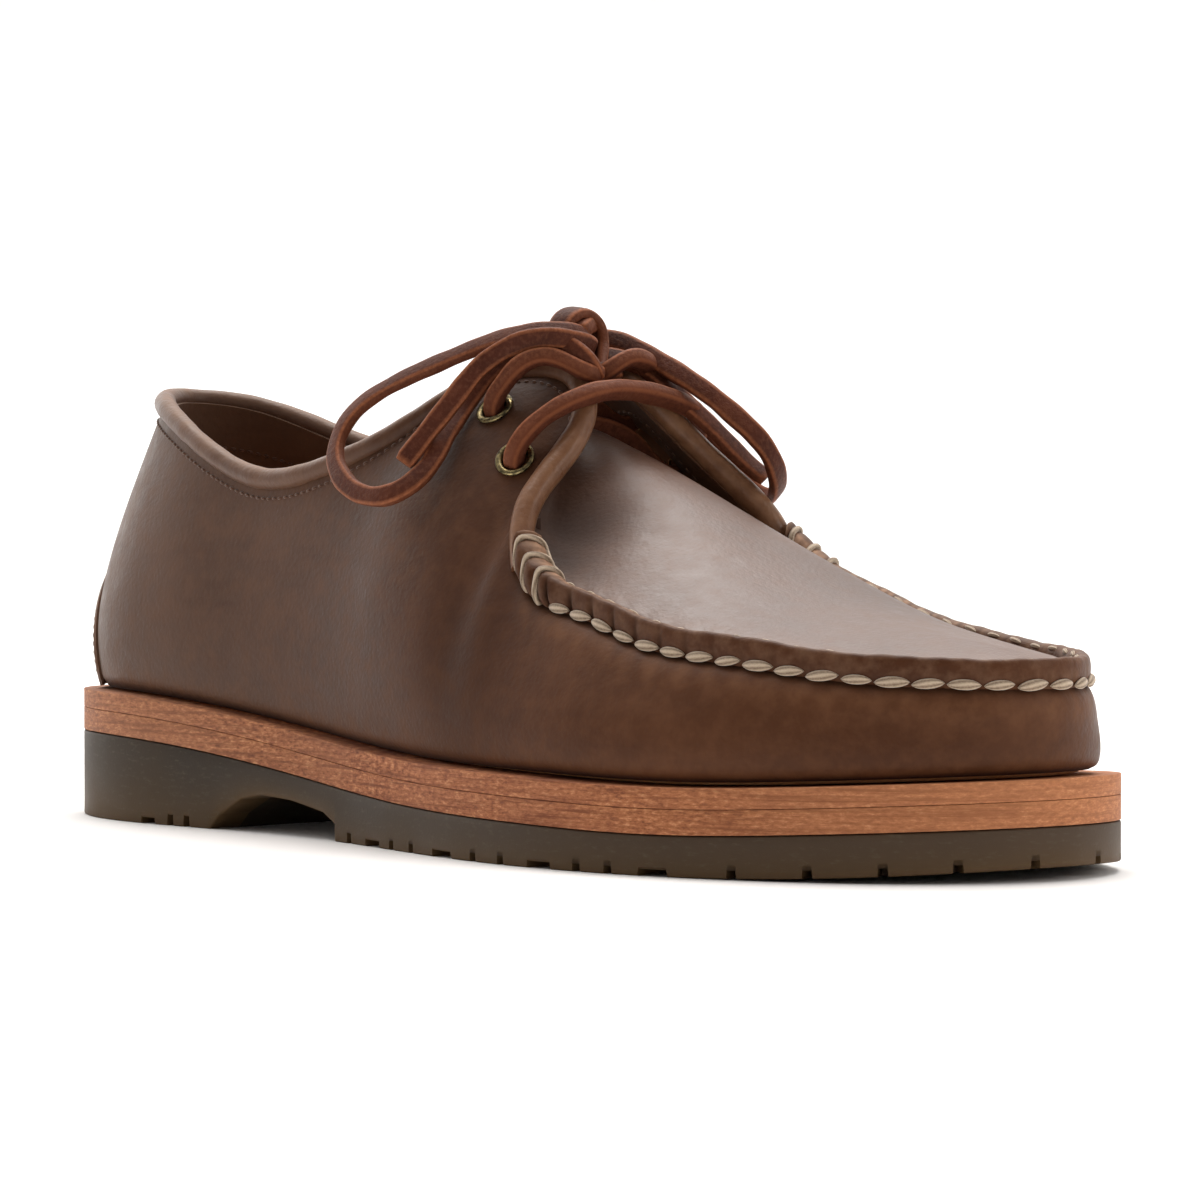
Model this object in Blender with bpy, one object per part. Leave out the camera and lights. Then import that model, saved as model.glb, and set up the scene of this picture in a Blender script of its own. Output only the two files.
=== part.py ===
"""Men's two-eyelet shoe with a hand-sewn moccasin toe, right foot, standing empty on its sole.

Lengths in the tables and named sizes are millimetres, turned into metres by MM as each mesh is made.
Shoe frame while shaping: x forward from the back of the heel, y to the wearer's left, z up from the floor.
"""
import math

import bmesh
import bpy
import numpy as np

MM = 0.001
GAP = 0.3

# Driving dimensions of the last and the sole
LENGTH = 300.0
BALL_WIDTH = 104.0
INSTEP_HEIGHT = 100.0
TOE_SPRING = 2.9
TOE_SPRING_FROM = 235.0
WALL = 2.0

# Sole outline once round, in per cent of LENGTH and of BALL_WIDTH: heel, outer side, toe, inner side
OUTLINE = [
    # along, across
    (0.0, 0.0),
    (2.7, -21.2),
    (10.0, -33.7),
    (20.7, -36.0),
    (36.7, -36.9),
    (50.0, -45.1),
    (63.3, -52.6),
    (75.0, -52.1),
    (87.3, -41.5),
    (96.0, -23.7),
    (100.0, 2.3),
    (97.3, 25.4),
    (89.3, 40.7),
    (76.7, 47.3),
    (63.3, 42.9),
    (48.3, 29.9),
    (35.0, 27.0),
    (20.7, 33.2),
    (10.0, 32.7),
    (2.7, 21.2),
]
TOE_ROW = 10

# Top of the leather stack above the floor, and how far the upper's foot stands in from the sole's edge
SOLE_SECTIONS = [
    # along %, stack top, welt margin
    (0.0, 28.9, 5.3),
    (13.3, 28.9, 4.2),
    (26.7, 25.8, 3.6),
    (40.0, 21.5, 3.6),
    (53.3, 19.2, 4.2),
    (66.7, 18.4, 5.0),
    (80.0, 17.9, 5.2),
    (90.0, 19.0, 5.6),
    (100.0, 20.5, 6.0),
]
WELT_THICKNESS = 4.1
MIDSOLE_THICKNESS = 4.9
INSOLE_THICKNESS = 4.0

# Underside of the arch between heel and forefoot
ARCH = [
    # along, up
    (73.4, 0.0),
    (77.2, 3.5),
    (84.8, 7.2),
    (92.1, 8.4),
    (102.7, 7.9),
    (116.4, 6.0),
    (121.9, 3.7),
]
FOREFOOT_START = 122.0

# Notches between the lugs, on both sides of the sole
NOTCHES = [
    # along, width, height
    (0.3, 2.0, 2.4),
    (3.6, 2.0, 2.4),
    (51.6, 5.0, 1.4),
    (59.7, 2.0, 2.4),
    (65.5, 2.0, 2.4),
    (128.5, 2.0, 2.2),
    (139.5, 6.8, 1.4),
    (148.6, 2.0, 2.2),
    (158.0, 2.0, 2.2),
    (171.4, 8.0, 1.4),
    (184.0, 2.0, 2.2),
    (194.0, 2.0, 2.2),
    (206.5, 7.0, 1.4),
    (217.6, 2.0, 2.2),
    (226.0, 2.0, 2.2),
    (237.0, 7.0, 1.4),
    (254.5, 2.0, 2.2),
    (269.0, 2.0, 2.2),
    (281.6, 2.0, 2.2),
    (291.8, 2.0, 2.2),
    (298.8, 2.0, 2.2),
]
NOTCH_DEPTH = 8.5

# Free edge of the upper, then the stitch line of its toe seam, once round.
# place: per cent of the way round the sole (50 is the toe), along, across and up: per cent of LENGTH,
# BALL_WIDTH and INSTEP_HEIGHT, lean: degrees that the wall tips inwards at its top, reach: its top handle,
# flare: degrees that it starts outwards over the welt
EDGE = [
    # place, along, across, up, lean, reach, flare
    (0.0, 6.3, 0.0, 96.2, 22.0, 0.40, 20.0),
    (3.6, 9.2, -13.5, 95.2, 22.0, 0.40, 20.0),
    (7.2, 14.7, -21.6, 90.5, 21.0, 0.38, 20.0),
    (11.6, 21.3, -26.0, 83.0, 18.0, 0.34, 22.0),
    (14.9, 28.0, -27.6, 78.2, 16.0, 0.32, 25.0),
    (18.6, 36.7, -27.2, 82.6, 24.0, 0.30, 26.0),
    (21.7, 43.3, -21.0, 92.0, 44.0, 0.34, 28.0),
    (23.6, 48.0, -13.7, 100.2, 56.0, 0.38, 28.0),
    (24.9, 52.7, -9.4, 102.0, 60.0, 0.40, 28.0),
    (26.1, 56.2, -9.6, 98.0, 58.0, 0.40, 28.0),
    (27.2, 58.0, -15.2, 89.0, 52.0, 0.36, 30.0),
    (28.3, 58.2, -25.2, 78.5, 46.0, 0.34, 32.0),
    (29.3, 58.8, -32.0, 70.0, 42.0, 0.32, 34.0),
    (30.1, 60.3, -36.0, 61.5, 42.0, 0.32, 36.0),
    (32.6, 67.3, -39.9, 51.6, 44.0, 0.32, 40.0),
    (35.5, 74.3, -40.4, 46.0, 44.0, 0.32, 44.0),
    (38.8, 82.3, -37.5, 43.0, 38.0, 0.32, 46.0),
    (42.0, 89.3, -30.3, 40.4, 30.0, 0.32, 48.0),
    (45.2, 94.8, -18.3, 39.2, 22.0, 0.32, 48.0),
    (50.0, 98.6, 2.4, 38.8, 10.0, 0.32, 48.0),
    (54.4, 96.0, 20.2, 38.9, 12.0, 0.32, 48.0),
    (57.7, 90.0, 32.4, 39.6, 22.0, 0.32, 48.0),
    (60.8, 82.7, 36.4, 41.6, 34.0, 0.32, 46.0),
    (64.0, 75.3, 36.5, 46.0, 42.0, 0.32, 44.0),
    (66.9, 68.3, 33.7, 53.5, 44.0, 0.32, 40.0),
    (69.3, 63.3, 29.8, 62.5, 42.0, 0.32, 36.0),
    (70.5, 62.0, 26.4, 71.0, 42.0, 0.32, 34.0),
    (71.7, 60.0, 20.7, 79.5, 46.0, 0.34, 32.0),
    (72.8, 58.0, 13.5, 89.0, 52.0, 0.36, 30.0),
    (74.0, 55.8, 8.2, 97.5, 58.0, 0.40, 28.0),
    (75.3, 52.7, 7.7, 101.5, 60.0, 0.40, 28.0),
    (76.7, 48.0, 11.5, 99.5, 56.0, 0.38, 28.0),
    (78.6, 43.3, 18.8, 91.0, 44.0, 0.34, 28.0),
    (81.7, 36.7, 25.0, 81.5, 24.0, 0.30, 26.0),
    (85.0, 28.7, 26.4, 77.5, 15.0, 0.30, 26.0),
    (88.4, 21.3, 25.0, 82.2, 18.0, 0.34, 22.0),
    (92.7, 14.7, 21.2, 88.2, 21.0, 0.38, 20.0),
    (96.4, 9.3, 13.0, 94.2, 22.0, 0.40, 20.0),
]
OUTER_CORNER = 30.1
INNER_CORNER = 69.3
FLARE_REACH = 0.26

# Raised moccasin seam round the plug
RIDGE_HEIGHT = 4.8
BEEF_ROLL_EXTRA = 2.4
BEEF_ROLL_LENGTH = 2.6
RIDGE_WIDTH = 2.2
RIDGE_DROP = 1.6

# Middle line of the plug and the tongue, rear to front
SPINE = [
    # along, across, up
    (121.0, -3.5, 98.5),
    (140.0, -3.2, 95.5),
    (158.0, -2.5, 90.5),
    (175.0, -1.5, 84.5),
    (192.0, -0.5, 76.3),
    (210.0, 0.5, 66.3),
    (226.0, 1.0, 58.0),
    (240.0, 1.5, 53.0),
    (257.0, 2.0, 49.2),
    (274.0, 2.2, 47.0),
]
PLUG_REAR = 158.0
PLUG_FRONT = 274.0
THROAT_FILL = 0.7
TOE_FILL = 1.4
TONGUE_REAR = 136.0
TONGUE_HALF = 19.0
TONGUE_THICKNESS = 1.8
TONGUE_DROP = 3.0

ROLL_RADIUS = 2.4
ROLL_STOPS = (0.36, 0.7)
ROLL_GAP = 0.62

# Eyelets: place round the shoe and share of the wall's height
EYELETS = {
    # name: (place, rise)
    "eyelet_lateral_upper": (24.7, 0.864),
    "eyelet_lateral_lower": (26.25, 0.788),
    "eyelet_medial_upper": (75.3, 0.864),
    "eyelet_medial_lower": (73.6, 0.788),
}
EYELET_PROFILE = [
    # radius, height over the leather
    (2.6, -2.4),
    (3.0, -2.4),
    (3.0, 0.35),
    (4.4, 0.35),
    (4.4, 0.75),
    (3.8, 1.15),
    (3.0, 1.15),
    (2.6, 0.75),
]
EYELET_HOLE = 3.3
LACE_RADIUS = 1.6

# The knot's middle and half sizes, and the free runs of the lace that leave it
KNOT_MIDDLE = (161.5, -3.0, 108.0)
KNOT_HALF = (6.5, 5.4, 6.2)
KNOT_ROOM = 0.8
LACE_ROUTES = {
    # name: rows of along, across, up
    "lace_loop_lateral": [
        (160.0, -5.0, 109.5),
        (155.0, -12.5, 110.8),
        (147.3, -17.0, 109.3),
        (138.0, -23.0, 105.3),
        (127.5, -30.0, 99.2),
        (121.5, -35.5, 92.2),
        (121.5, -39.5, 85.0),
        (127.0, -42.5, 79.3),
        (136.5, -44.0, 75.4),
        (146.5, -42.5, 76.0),
        (151.5, -38.0, 80.5),
        (152.5, -32.0, 88.0),
        (152.0, -27.0, 96.2),
        (153.2, -19.5, 103.8),
        (156.6, -12.0, 106.6),
        (160.5, -4.5, 106.4),
    ],
    "lace_loop_medial": [
        (162.5, -1.5, 109.5),
        (171.5, 3.0, 107.5),
        (179.8, 6.0, 102.2),
        (187.8, 11.0, 97.0),
        (194.5, 17.5, 91.0),
        (197.5, 22.5, 85.0),
        (195.0, 27.0, 79.0),
        (188.5, 31.5, 77.0),
        (180.5, 33.0, 81.0),
        (174.0, 29.0, 88.0),
        (172.5, 21.5, 97.0),
        (168.0, 10.0, 107.0),
        (163.0, -1.0, 108.5),
    ],
    "lace_end_lateral": [
        (162.5, -6.0, 108.0),
        (160.0, -16.0, 109.5),
        (151.5, -22.0, 106.8),
        (148.0, -27.5, 98.8),
        (145.2, -33.0, 90.1),
        (142.5, -38.5, 82.0),
    ],
    "lace_end_medial": [
        (163.5, -3.0, 106.0),
        (173.5, -2.0, 103.8),
        (180.5, 4.5, 98.2),
        (184.8, 12.0, 91.8),
        (188.5, 19.0, 84.6),
        (192.0, 23.5, 79.0),
    ],
}

# Heel patch: half width in per cent of the way round, top at the middle and at its ends as shares of the wall
PATCH_HALF = 5.2
PATCH_TOP = 0.57
PATCH_LOW_TOP = 0.10
PATCH_THICKNESS = 1.2


def spline(knots, rows, wanted, period=None):
    """Cubic spline through rows at knots: closed when a period is given, else with free ends."""
    knots = np.asarray(knots, float)
    rows = np.asarray(rows, float).reshape(len(knots), -1)
    wanted = np.asarray(wanted, float)
    if period:
        knots = np.append(knots, knots[0] + period)
        rows = np.vstack([rows, rows[:1]])
        wanted = knots[0] + (wanted - knots[0]) % period
    step = np.diff(knots)
    slope = np.diff(rows, axis=0) / step[:, None]
    count = len(knots)
    system = np.eye(count)
    right = np.zeros_like(rows)
    for i in range(1, count - 1):
        system[i, i - 1 : i + 2] = step[i - 1], 2 * (step[i - 1] + step[i]), step[i]
        right[i] = 6 * (slope[i] - slope[i - 1])
    if period:
        system[0, [0, 1, -2]] = 2 * (step[-1] + step[0]), step[0], step[-1]
        right[0] = 6 * (slope[0] - slope[-1])
        system[-1, [0, -1]] = -1, 1
    bend = np.linalg.solve(system, right)
    i = np.clip(np.searchsorted(knots, wanted, "right") - 1, 0, count - 2)
    after = ((wanted - knots[i]) / step[i])[..., None]
    before = 1 - after
    curve = (before**3 - before) * bend[i] + (after**3 - after) * bend[i + 1]
    return before * rows[i] + after * rows[i + 1] + curve * step[i][..., None] ** 2 / 6


def smooth(t):
    """Eases from 0 to 1 as t does."""
    t = np.clip(t, 0, 1)
    return t * t * (3 - 2 * t)


def outline_at(place, inset=0.0):
    """Points of the sole's edge at a place round it, moved in by inset, with the outward directions."""
    corners = np.array(OUTLINE) * [LENGTH / 100, BALL_WIDTH / 100]
    closed = np.vstack([corners, corners[:1]])
    chord = np.append(0, np.cumsum(np.linalg.norm(np.diff(closed, axis=0), axis=1)))
    place = np.asarray(place, float) % 100
    way = np.interp(place, [0, 50, 100], [0, chord[TOE_ROW], chord[-1]])
    nudge = 0.5
    point = spline(chord[:-1], corners, way, chord[-1])
    ahead = spline(chord[:-1], corners, way + nudge, chord[-1])
    behind = spline(chord[:-1], corners, way - nudge, chord[-1])
    run = ahead - behind
    run /= np.linalg.norm(run, axis=-1, keepdims=True)
    outward = np.stack([run[..., 1], -run[..., 0]], axis=-1)
    return point - outward * np.asarray(inset)[..., None], outward


EDGE_RING = outline_at(np.linspace(0, 100, 801))[0]
CENTRE = np.array([LENGTH / 2, (EDGE_RING[:, 1].min() + EDGE_RING[:, 1].max()) / 2, 0.0])


def sole_value(along, column):
    """Reads one column of SOLE_SECTIONS at distances along the sole."""
    table = np.array(SOLE_SECTIONS)
    return spline(table[:, 0] * LENGTH / 100, table[:, column], np.clip(along, 0, LENGTH))[..., 0]


def stack_top(along):
    return sole_value(along, 1)


def welt_margin(along):
    return sole_value(along, 2)


def tread(along):
    """Height of the outsole's underside: heel and forefoot on the floor, arch and toe spring above it."""
    arch = np.array(ARCH)
    lifted = np.interp(along, arch[:, 0], arch[:, 1])
    spring = TOE_SPRING * (np.clip(along - TOE_SPRING_FROM, 0, None) / (LENGTH - TOE_SPRING_FROM)) ** 2
    return np.where(along < FOREFOOT_START, lifted, spring)


def leather_paint(name, colour, roughness, metallic=0.0):
    """A plain Principled material of one colour."""
    material = bpy.data.materials.new(name)
    material.use_nodes = True
    shader = material.node_tree.nodes["Principled BSDF"]
    shader.inputs["Base Color"].default_value = (*colour, 1.0)
    shader.inputs["Roughness"].default_value = roughness
    shader.inputs["Metallic"].default_value = metallic
    return material


def faces_of(index):
    """Quads between neighbouring rows and columns of an index grid; a quad with a doubled corner is a triangle."""
    faces = []
    for low, high in zip(index[:-1], index[1:]):
        for corners in zip(low[:-1], low[1:], high[1:], high[:-1]):
            kept = list(dict.fromkeys(int(i) for i in corners))
            if len(kept) > 2:
                faces.append(kept)
    return faces


def add_solid(name, points, faces, material, crease_deg=40.0):
    """Makes one closed object from points in the shoe frame, with its faces turned outwards."""
    mesh = bpy.data.meshes.new(name)
    mesh.from_pydata(((np.asarray(points) - CENTRE) * MM).tolist(), [], faces)
    cleaner = bmesh.new()
    cleaner.from_mesh(mesh)
    bmesh.ops.recalc_face_normals(cleaner, faces=cleaner.faces)
    cleaner.to_mesh(mesh)
    cleaner.free()
    mesh.materials.append(material)
    mesh.shade_smooth()
    mesh.set_sharp_from_angle(angle=math.radians(crease_deg))
    solid = bpy.data.objects.new(name, mesh)
    bpy.context.scene.collection.objects.link(solid)
    return solid


def plate(name, low, high, material, inset=None, stops=()):
    """A sole layer: rungs across the outline at chosen distances, between the heights low(x) and high(x)."""
    turn = np.linspace(0, math.pi, 49)
    along = np.unique(np.append(LENGTH * (1 - np.cos(turn)) / 2, stops))
    ring = np.linspace(0, 100, 1601)
    margin = 0.0 if inset is None else inset(outline_at(ring)[0][:, 0])
    edge = outline_at(ring, np.broadcast_to(margin, ring.shape))[0]
    start, end = edge[:, 0].min(), edge[:, 0].max()
    along = start + along * (end - start) / LENGTH
    shy = 0.12
    read = np.clip(along, start + shy, end - shy)
    outer = edge[: len(ring) // 2 + 1]
    inner = edge[len(ring) // 2 :][::-1]
    right = np.interp(read, outer[:, 0], outer[:, 1])
    left = np.interp(read, inner[:, 0], inner[:, 1])
    bottom, top = low(along), high(along)
    rows = [
        np.column_stack([along, left, bottom]),
        np.column_stack([along, right, bottom]),
        np.column_stack([along, right, top]),
        np.column_stack([along, left, top]),
    ]
    count = len(along)
    index = np.arange(4 * count).reshape(4, count)
    faces = faces_of(np.vstack([index, index[:1]]))
    faces += [index[:, 0].tolist(), index[:, -1].tolist()]
    return add_solid(name, np.vstack(rows), faces, material)


def edge_at(place):
    """Free edge or stitch line at places round the shoe, with its lean, its reach and its flare, in radians."""
    table = np.array(EDGE)
    scale = [LENGTH / 100, BALL_WIDTH / 100, INSTEP_HEIGHT / 100, math.pi / 180, 1.0, math.pi / 180]
    row = spline(table[:, 0], table[:, 1:] * scale, place, 100)
    return row[..., :3], row[..., 3:4], row[..., 4:5], row[..., 5:6]


def wall_at(place, rise):
    """Outer face of the wall: a Bezier curve from the welt (rise 0) to the free edge (rise 1) at each place.

    It starts outwards by the table's flare and arrives tipped inwards by its lean, so it bulges over the welt.
    """
    place = np.asarray(place, float)
    rough = outline_at(place)[0]
    foot_xy, outward = outline_at(place, welt_margin(rough[..., 0]))
    foot = np.dstack([foot_xy, stack_top(foot_xy[..., 0])[..., None] + GAP])
    out = np.dstack([outward, np.zeros(place.shape)[..., None]])
    edge, lean, reach, flare = edge_at(place)
    run = np.stack([-out[..., 1], out[..., 0], out[..., 2]], axis=-1)
    whole = edge - foot
    aside = run * (whole * run).sum(-1, keepdims=True)
    size = np.linalg.norm(whole - aside, axis=-1, keepdims=True)
    up = np.array([0.0, 0.0, 1.0])
    first = foot + aside / 3 + FLARE_REACH * size * (out * np.sin(flare) + up * np.cos(flare))
    second = edge - aside / 3 + reach * size * (out * np.sin(lean) - up * np.cos(lean))
    t = np.asarray(rise, float)[..., None]
    return (1 - t) ** 3 * foot + 3 * t * (1 - t) ** 2 * first + 3 * t**2 * (1 - t) * second + t**3 * edge


def roll_line():
    """Middle line of the binding: the topline and both flap edges, stopping just short of the seam's corners."""
    places = rear_places()
    low, high = INNER_CORNER - 100 + ROLL_STOPS[1], OUTER_CORNER - ROLL_STOPS[0]
    places = np.concatenate([[low], places[(places > low + 0.3) & (places < high - 0.3)], [high]])
    return edge_at(places)[0]


def wall_grid(places, rises):
    """Wall points on a grid of rises by places, with each column stopped where it would meet the binding."""
    column, row = np.meshgrid(places, np.linspace(0, 1, 81))
    dense = wall_at(column, row)
    step = np.linalg.norm(np.diff(dense, axis=0), axis=-1)
    way = np.vstack([np.zeros(len(places)), np.cumsum(step, axis=0)])
    line = roll_line()
    start, run = line[:-1], np.diff(line, axis=0)
    points = np.empty((len(rises), len(places), 3))
    for k in range(len(places)):
        offset = dense[:, k, None] - start
        share = np.clip((offset * run).sum(-1) / (run**2).sum(-1), 0, 1)
        away = np.linalg.norm(offset - share[..., None] * run, axis=-1).min(axis=1)
        met = np.flatnonzero(away < ROLL_RADIUS + ROLL_GAP)
        stop = way[-1, k]
        if len(met):
            last = met[0]
            part = (ROLL_RADIUS + ROLL_GAP - away[last - 1]) / (away[last] - away[last - 1])
            stop = way[last - 1, k] + part * (way[last, k] - way[last - 1, k])
        wanted = np.asarray(rises) * stop
        points[:, k] = np.column_stack([np.interp(wanted, way[:, k], dense[:, k, a]) for a in range(3)])
    return points


def normals_of(grid):
    """Unit normals of a grid of points, from differences along its rows and columns."""
    across = np.gradient(grid, axis=1)
    upward = np.gradient(grid, axis=0)
    normal = np.cross(across, upward)
    return normal / np.linalg.norm(normal, axis=-1, keepdims=True)


def spine_at(along):
    table = np.array(SPINE)
    rest = spline(table[:, 0], table[:, 1:], along)
    return np.concatenate([np.asarray(along, float)[..., None], rest], axis=-1)


def seam_rows(places):
    """The raised seam's three edges at each place: outer top, inner top, and the plug's foot."""
    stitch = edge_at(places)[0]
    nudge = 0.2
    run = edge_at(places + nudge)[0] - edge_at(places - nudge)[0]
    out = np.column_stack([run[:, 1], -run[:, 0], np.zeros(len(places))])
    out /= np.linalg.norm(out, axis=1, keepdims=True)
    up = np.array([0.0, 0.0, 1.0])
    along = np.minimum(places - OUTER_CORNER, INNER_CORNER - places) / BEEF_ROLL_LENGTH
    extra = BEEF_ROLL_EXTRA * (1 - smooth(along))[:, None]
    outer_top = stitch + up * (RIDGE_HEIGHT + extra) - out * 0.4
    inner_top = outer_top - out * RIDGE_WIDTH
    plug_foot = inner_top - out * 0.4 - up * (RIDGE_DROP + extra)
    return np.stack([outer_top, inner_top, plug_foot])


def plug_rows(places, start, steps):
    """Rows of the plug from the seam to its middle line, level across the middle."""
    seam_x = start[:, 0]
    rear = np.where(places < 50, seam_x[0], seam_x[-1])
    front = seam_x.max()
    share = np.clip((seam_x - rear) / (front - rear), 0, 1)
    along = PLUG_REAR + (PLUG_FRONT - PLUG_REAR) * share
    spine = spine_at(along)
    pitch = (spine_at(along + 1)[:, 2] - spine_at(along - 1)[:, 2]) / 2
    rise = spine[:, 2] - start[:, 2]
    first = rise * (THROAT_FILL + (TOE_FILL - THROAT_FILL) * smooth(share / 0.45))
    last = pitch * (spine[:, 0] - start[:, 0])
    rows = []
    for t in steps:
        flat = start + (spine - start) * t
        cubic = (1 + 2 * t) * (1 - t) ** 2 * start[:, 2] + t * t * (3 - 2 * t) * spine[:, 2]
        cubic += t * (1 - t) ** 2 * first - t * t * (1 - t) * last
        rows.append(np.column_stack([flat[:, :2], cubic]))
    return np.stack(rows)


def rear_places():
    """Columns of the quarters from the inner corner round the heel to the outer corner."""
    spans = [(INNER_CORNER - 100, -22.0, 11), (-22.0, -8.0, 9), (-8.0, 8.0, 12), (8.0, 22.0, 9), (22.0, OUTER_CORNER, 11)]
    parts = [np.linspace(a, b, n, endpoint=False) for a, b, n in spans]
    return np.append(np.concatenate(parts), OUTER_CORNER)


def front_places():
    """Columns of the vamp from the outer corner round the toe to the inner corner."""
    return np.linspace(OUTER_CORNER, INNER_CORNER, 41)


def make_upper(material):
    """The upper: quarters, vamp, raised seam and plug as one wall, open at collar, throat and sole."""
    rear, front = rear_places(), front_places()
    rises = np.linspace(0, 1, 10)
    ring = np.concatenate([rear, front[1:-1]])
    wall = wall_grid(ring, rises)
    seamed = np.concatenate([wall, wall[:, :1]], axis=1)
    normal = normals_of(np.concatenate([wall[:, -1:], seamed, wall[:, 1:2]], axis=1))[:, 1:-2]
    inner_wall = wall - normal * WALL
    inner_wall[0, :, 2] = wall[0, :, 2]
    ridge = seam_rows(front)
    plug = plug_rows(front, ridge[-1], np.linspace(0, 1, 6)[1:])
    toe = len(front) // 2
    plug_down = normals_of(np.concatenate([ridge[-1:], plug]))
    plug_down *= np.sign(plug_down[..., 2:3])
    inner_plug = np.concatenate([ridge[-1:], plug]) - plug_down * WALL
    stitch_in = np.concatenate([inner_wall[-1, len(rear) - 1 :], inner_wall[-1, :1]])
    shares = np.array([0.34, 0.67])
    inner_ridge = np.stack([stitch_in + (inner_plug[0] - stitch_in) * s for s in shares])
    inner_front = np.concatenate([inner_ridge, inner_plug])
    outer_front = np.concatenate([ridge, plug])

    points, count = [], 0

    def store(rows):
        nonlocal count
        index = count + np.arange(rows.shape[0] * rows.shape[1]).reshape(rows.shape[:2])
        points.append(rows.reshape(-1, 3))
        count += index.size
        return index

    def close_spine(index):
        """Joins the two halves of the plug along the middle line by sharing their last row."""
        index = index.copy()
        last = index[-1]
        for k in range(toe):
            last[-1 - k] = last[k]
        return index

    outer = store(wall)
    inner = store(inner_wall[::3])
    outer_top = close_spine(store(outer_front))
    inner_top = close_spine(store(inner_front))
    outer = np.hstack([outer, outer[:, :1]])
    inner = np.hstack([inner, inner[:, :1]])
    turn = len(rear) - 1
    outer_cap = np.vstack([outer[-1:, turn:], outer_top])
    inner_cap = np.vstack([inner[-1:, turn:], inner_top])
    faces = faces_of(outer) + faces_of(inner) + faces_of(outer_cap) + faces_of(inner_cap)
    faces += faces_of(np.vstack([outer[0], inner[0]]))
    faces += faces_of(np.vstack([outer[-1, : turn + 1], inner[-1, : turn + 1]]))
    for column in (0, -1):
        faces += faces_of(np.vstack([outer_cap[:, column], inner_cap[:, column]]))
    used = sorted({i for face in faces for i in face})
    renumber = {old: new for new, old in enumerate(used)}
    faces = [[renumber[i] for i in face] for face in faces]
    return add_solid("upper", np.vstack(points)[used], faces, material)


def slab(name, top, material, thickness):
    """A closed sheet of one thickness under a grid of top points."""
    normal = normals_of(top)
    normal *= np.sign(normal[..., 2:3])
    bottom = top - normal * thickness
    rows, columns = top.shape[:2]
    up = np.arange(rows * columns).reshape(rows, columns)
    down = up + rows * columns
    faces = faces_of(up) + faces_of(down)
    for side in ((0, slice(None)), (-1, slice(None)), (slice(None), 0), (slice(None), -1)):
        faces += faces_of(np.vstack([up[side], down[side]]))
    return add_solid(name, np.vstack([top.reshape(-1, 3), bottom.reshape(-1, 3)]), faces, material)


def make_tongue(material):
    """The tongue: lapped under the plug's rear edge and carried on rearwards under the flaps."""
    front = front_places()
    start = seam_rows(front)[-1]
    steps = np.linspace(0.3, 1, 6)
    lines = plug_rows(front, start, steps)
    lap = 2
    lead = np.vstack([lines[:, lap], lines[:-1, -1 - lap][::-1]])
    share = np.linspace(-1, 1, len(lead))
    lead[:, 2] -= 1.2 * share**2
    tail = spine_at(np.full(len(lead), TONGUE_REAR))
    tail[:, 0] += 4.0 * (1 - share**2) - 4.0
    tail[:, 1] += share * TONGUE_HALF
    tail[:, 2] -= 12.0 * share**2
    rows = []
    for t in np.linspace(0, 1, 7):
        row = lead + (tail - lead) * t
        middle = spine_at(row[len(row) // 2, :1])[0]
        row[:, 2] += (middle[2] - row[len(row) // 2, 2]) * (1 - share**2)
        rows.append(row)
    top = np.stack(rows)
    top[..., 2] -= TONGUE_DROP
    return slab("tongue", top, material, TONGUE_THICKNESS)


def add_cord(name, points, radius, material):
    """A round tube along points in the shoe frame, closed at both ends."""
    curve = bpy.data.curves.new(name, "CURVE")
    curve.dimensions = "3D"
    curve.bevel_depth = radius * MM
    curve.bevel_resolution = 2
    curve.use_fill_caps = True
    line = curve.splines.new("POLY")
    line.points.add(len(points) - 1)
    for spot, place in zip(line.points, (np.asarray(points) - CENTRE) * MM):
        spot.co = (*place, 1.0)
    curve.materials.append(material)
    cord = bpy.data.objects.new(name, curve)
    bpy.context.scene.collection.objects.link(cord)
    return cord


def make_collar_roll(material):
    """The padded binding: a bead along the topline and down the front edge of both flaps."""
    return add_cord("collar_roll", roll_line(), ROLL_RADIUS, material)


def make_heel_patch(material):
    """The half-moon patch sewn over the back of the heel, a second layer on the wall."""
    places = rear_places()
    places = places[np.abs(places) < PATCH_HALF + 0.01]
    places = np.unique(np.concatenate([[-PATCH_HALF], places, [PATCH_HALF]]))
    share = np.clip(np.abs(places) / PATCH_HALF, 0, 1)
    top = PATCH_LOW_TOP + (PATCH_TOP - PATCH_LOW_TOP) * (1 - share**2.2) ** 0.8
    column, row = np.meshgrid(places, np.linspace(0.0, 1.0, 7))
    dense = wall_at(column, row * top + 0.012 * (1 - row))
    normal = normals_of(dense)
    back = np.array([-1.0, 0.0, 0.0])
    normal *= np.sign((normal @ back)[len(normal) // 2, len(places) // 2])
    under = GAP + 0.4
    return shell("heel_patch", dense + normal * under, dense + normal * (under + PATCH_THICKNESS), material)


def shell(name, inner, outer, material):
    """A closed sheet between two grids of points."""
    rows, columns = inner.shape[:2]
    near = np.arange(rows * columns).reshape(rows, columns)
    far = near + rows * columns
    faces = faces_of(near) + faces_of(far)
    for side in ((0, slice(None)), (-1, slice(None)), (slice(None), 0), (slice(None), -1)):
        faces += faces_of(np.vstack([near[side], far[side]]))
    return add_solid(name, np.vstack([inner.reshape(-1, 3), outer.reshape(-1, 3)]), faces, material)


def make_insole(material):
    """The footbed, inside the upper's foot and on the welt."""
    def inset(along):
        return welt_margin(along) + WALL + 2 * GAP

    def low(along):
        return stack_top(along) + GAP

    def high(along):
        return stack_top(along) + GAP + INSOLE_THICKNESS

    return plate("insole", low, high, material, inset)


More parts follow.
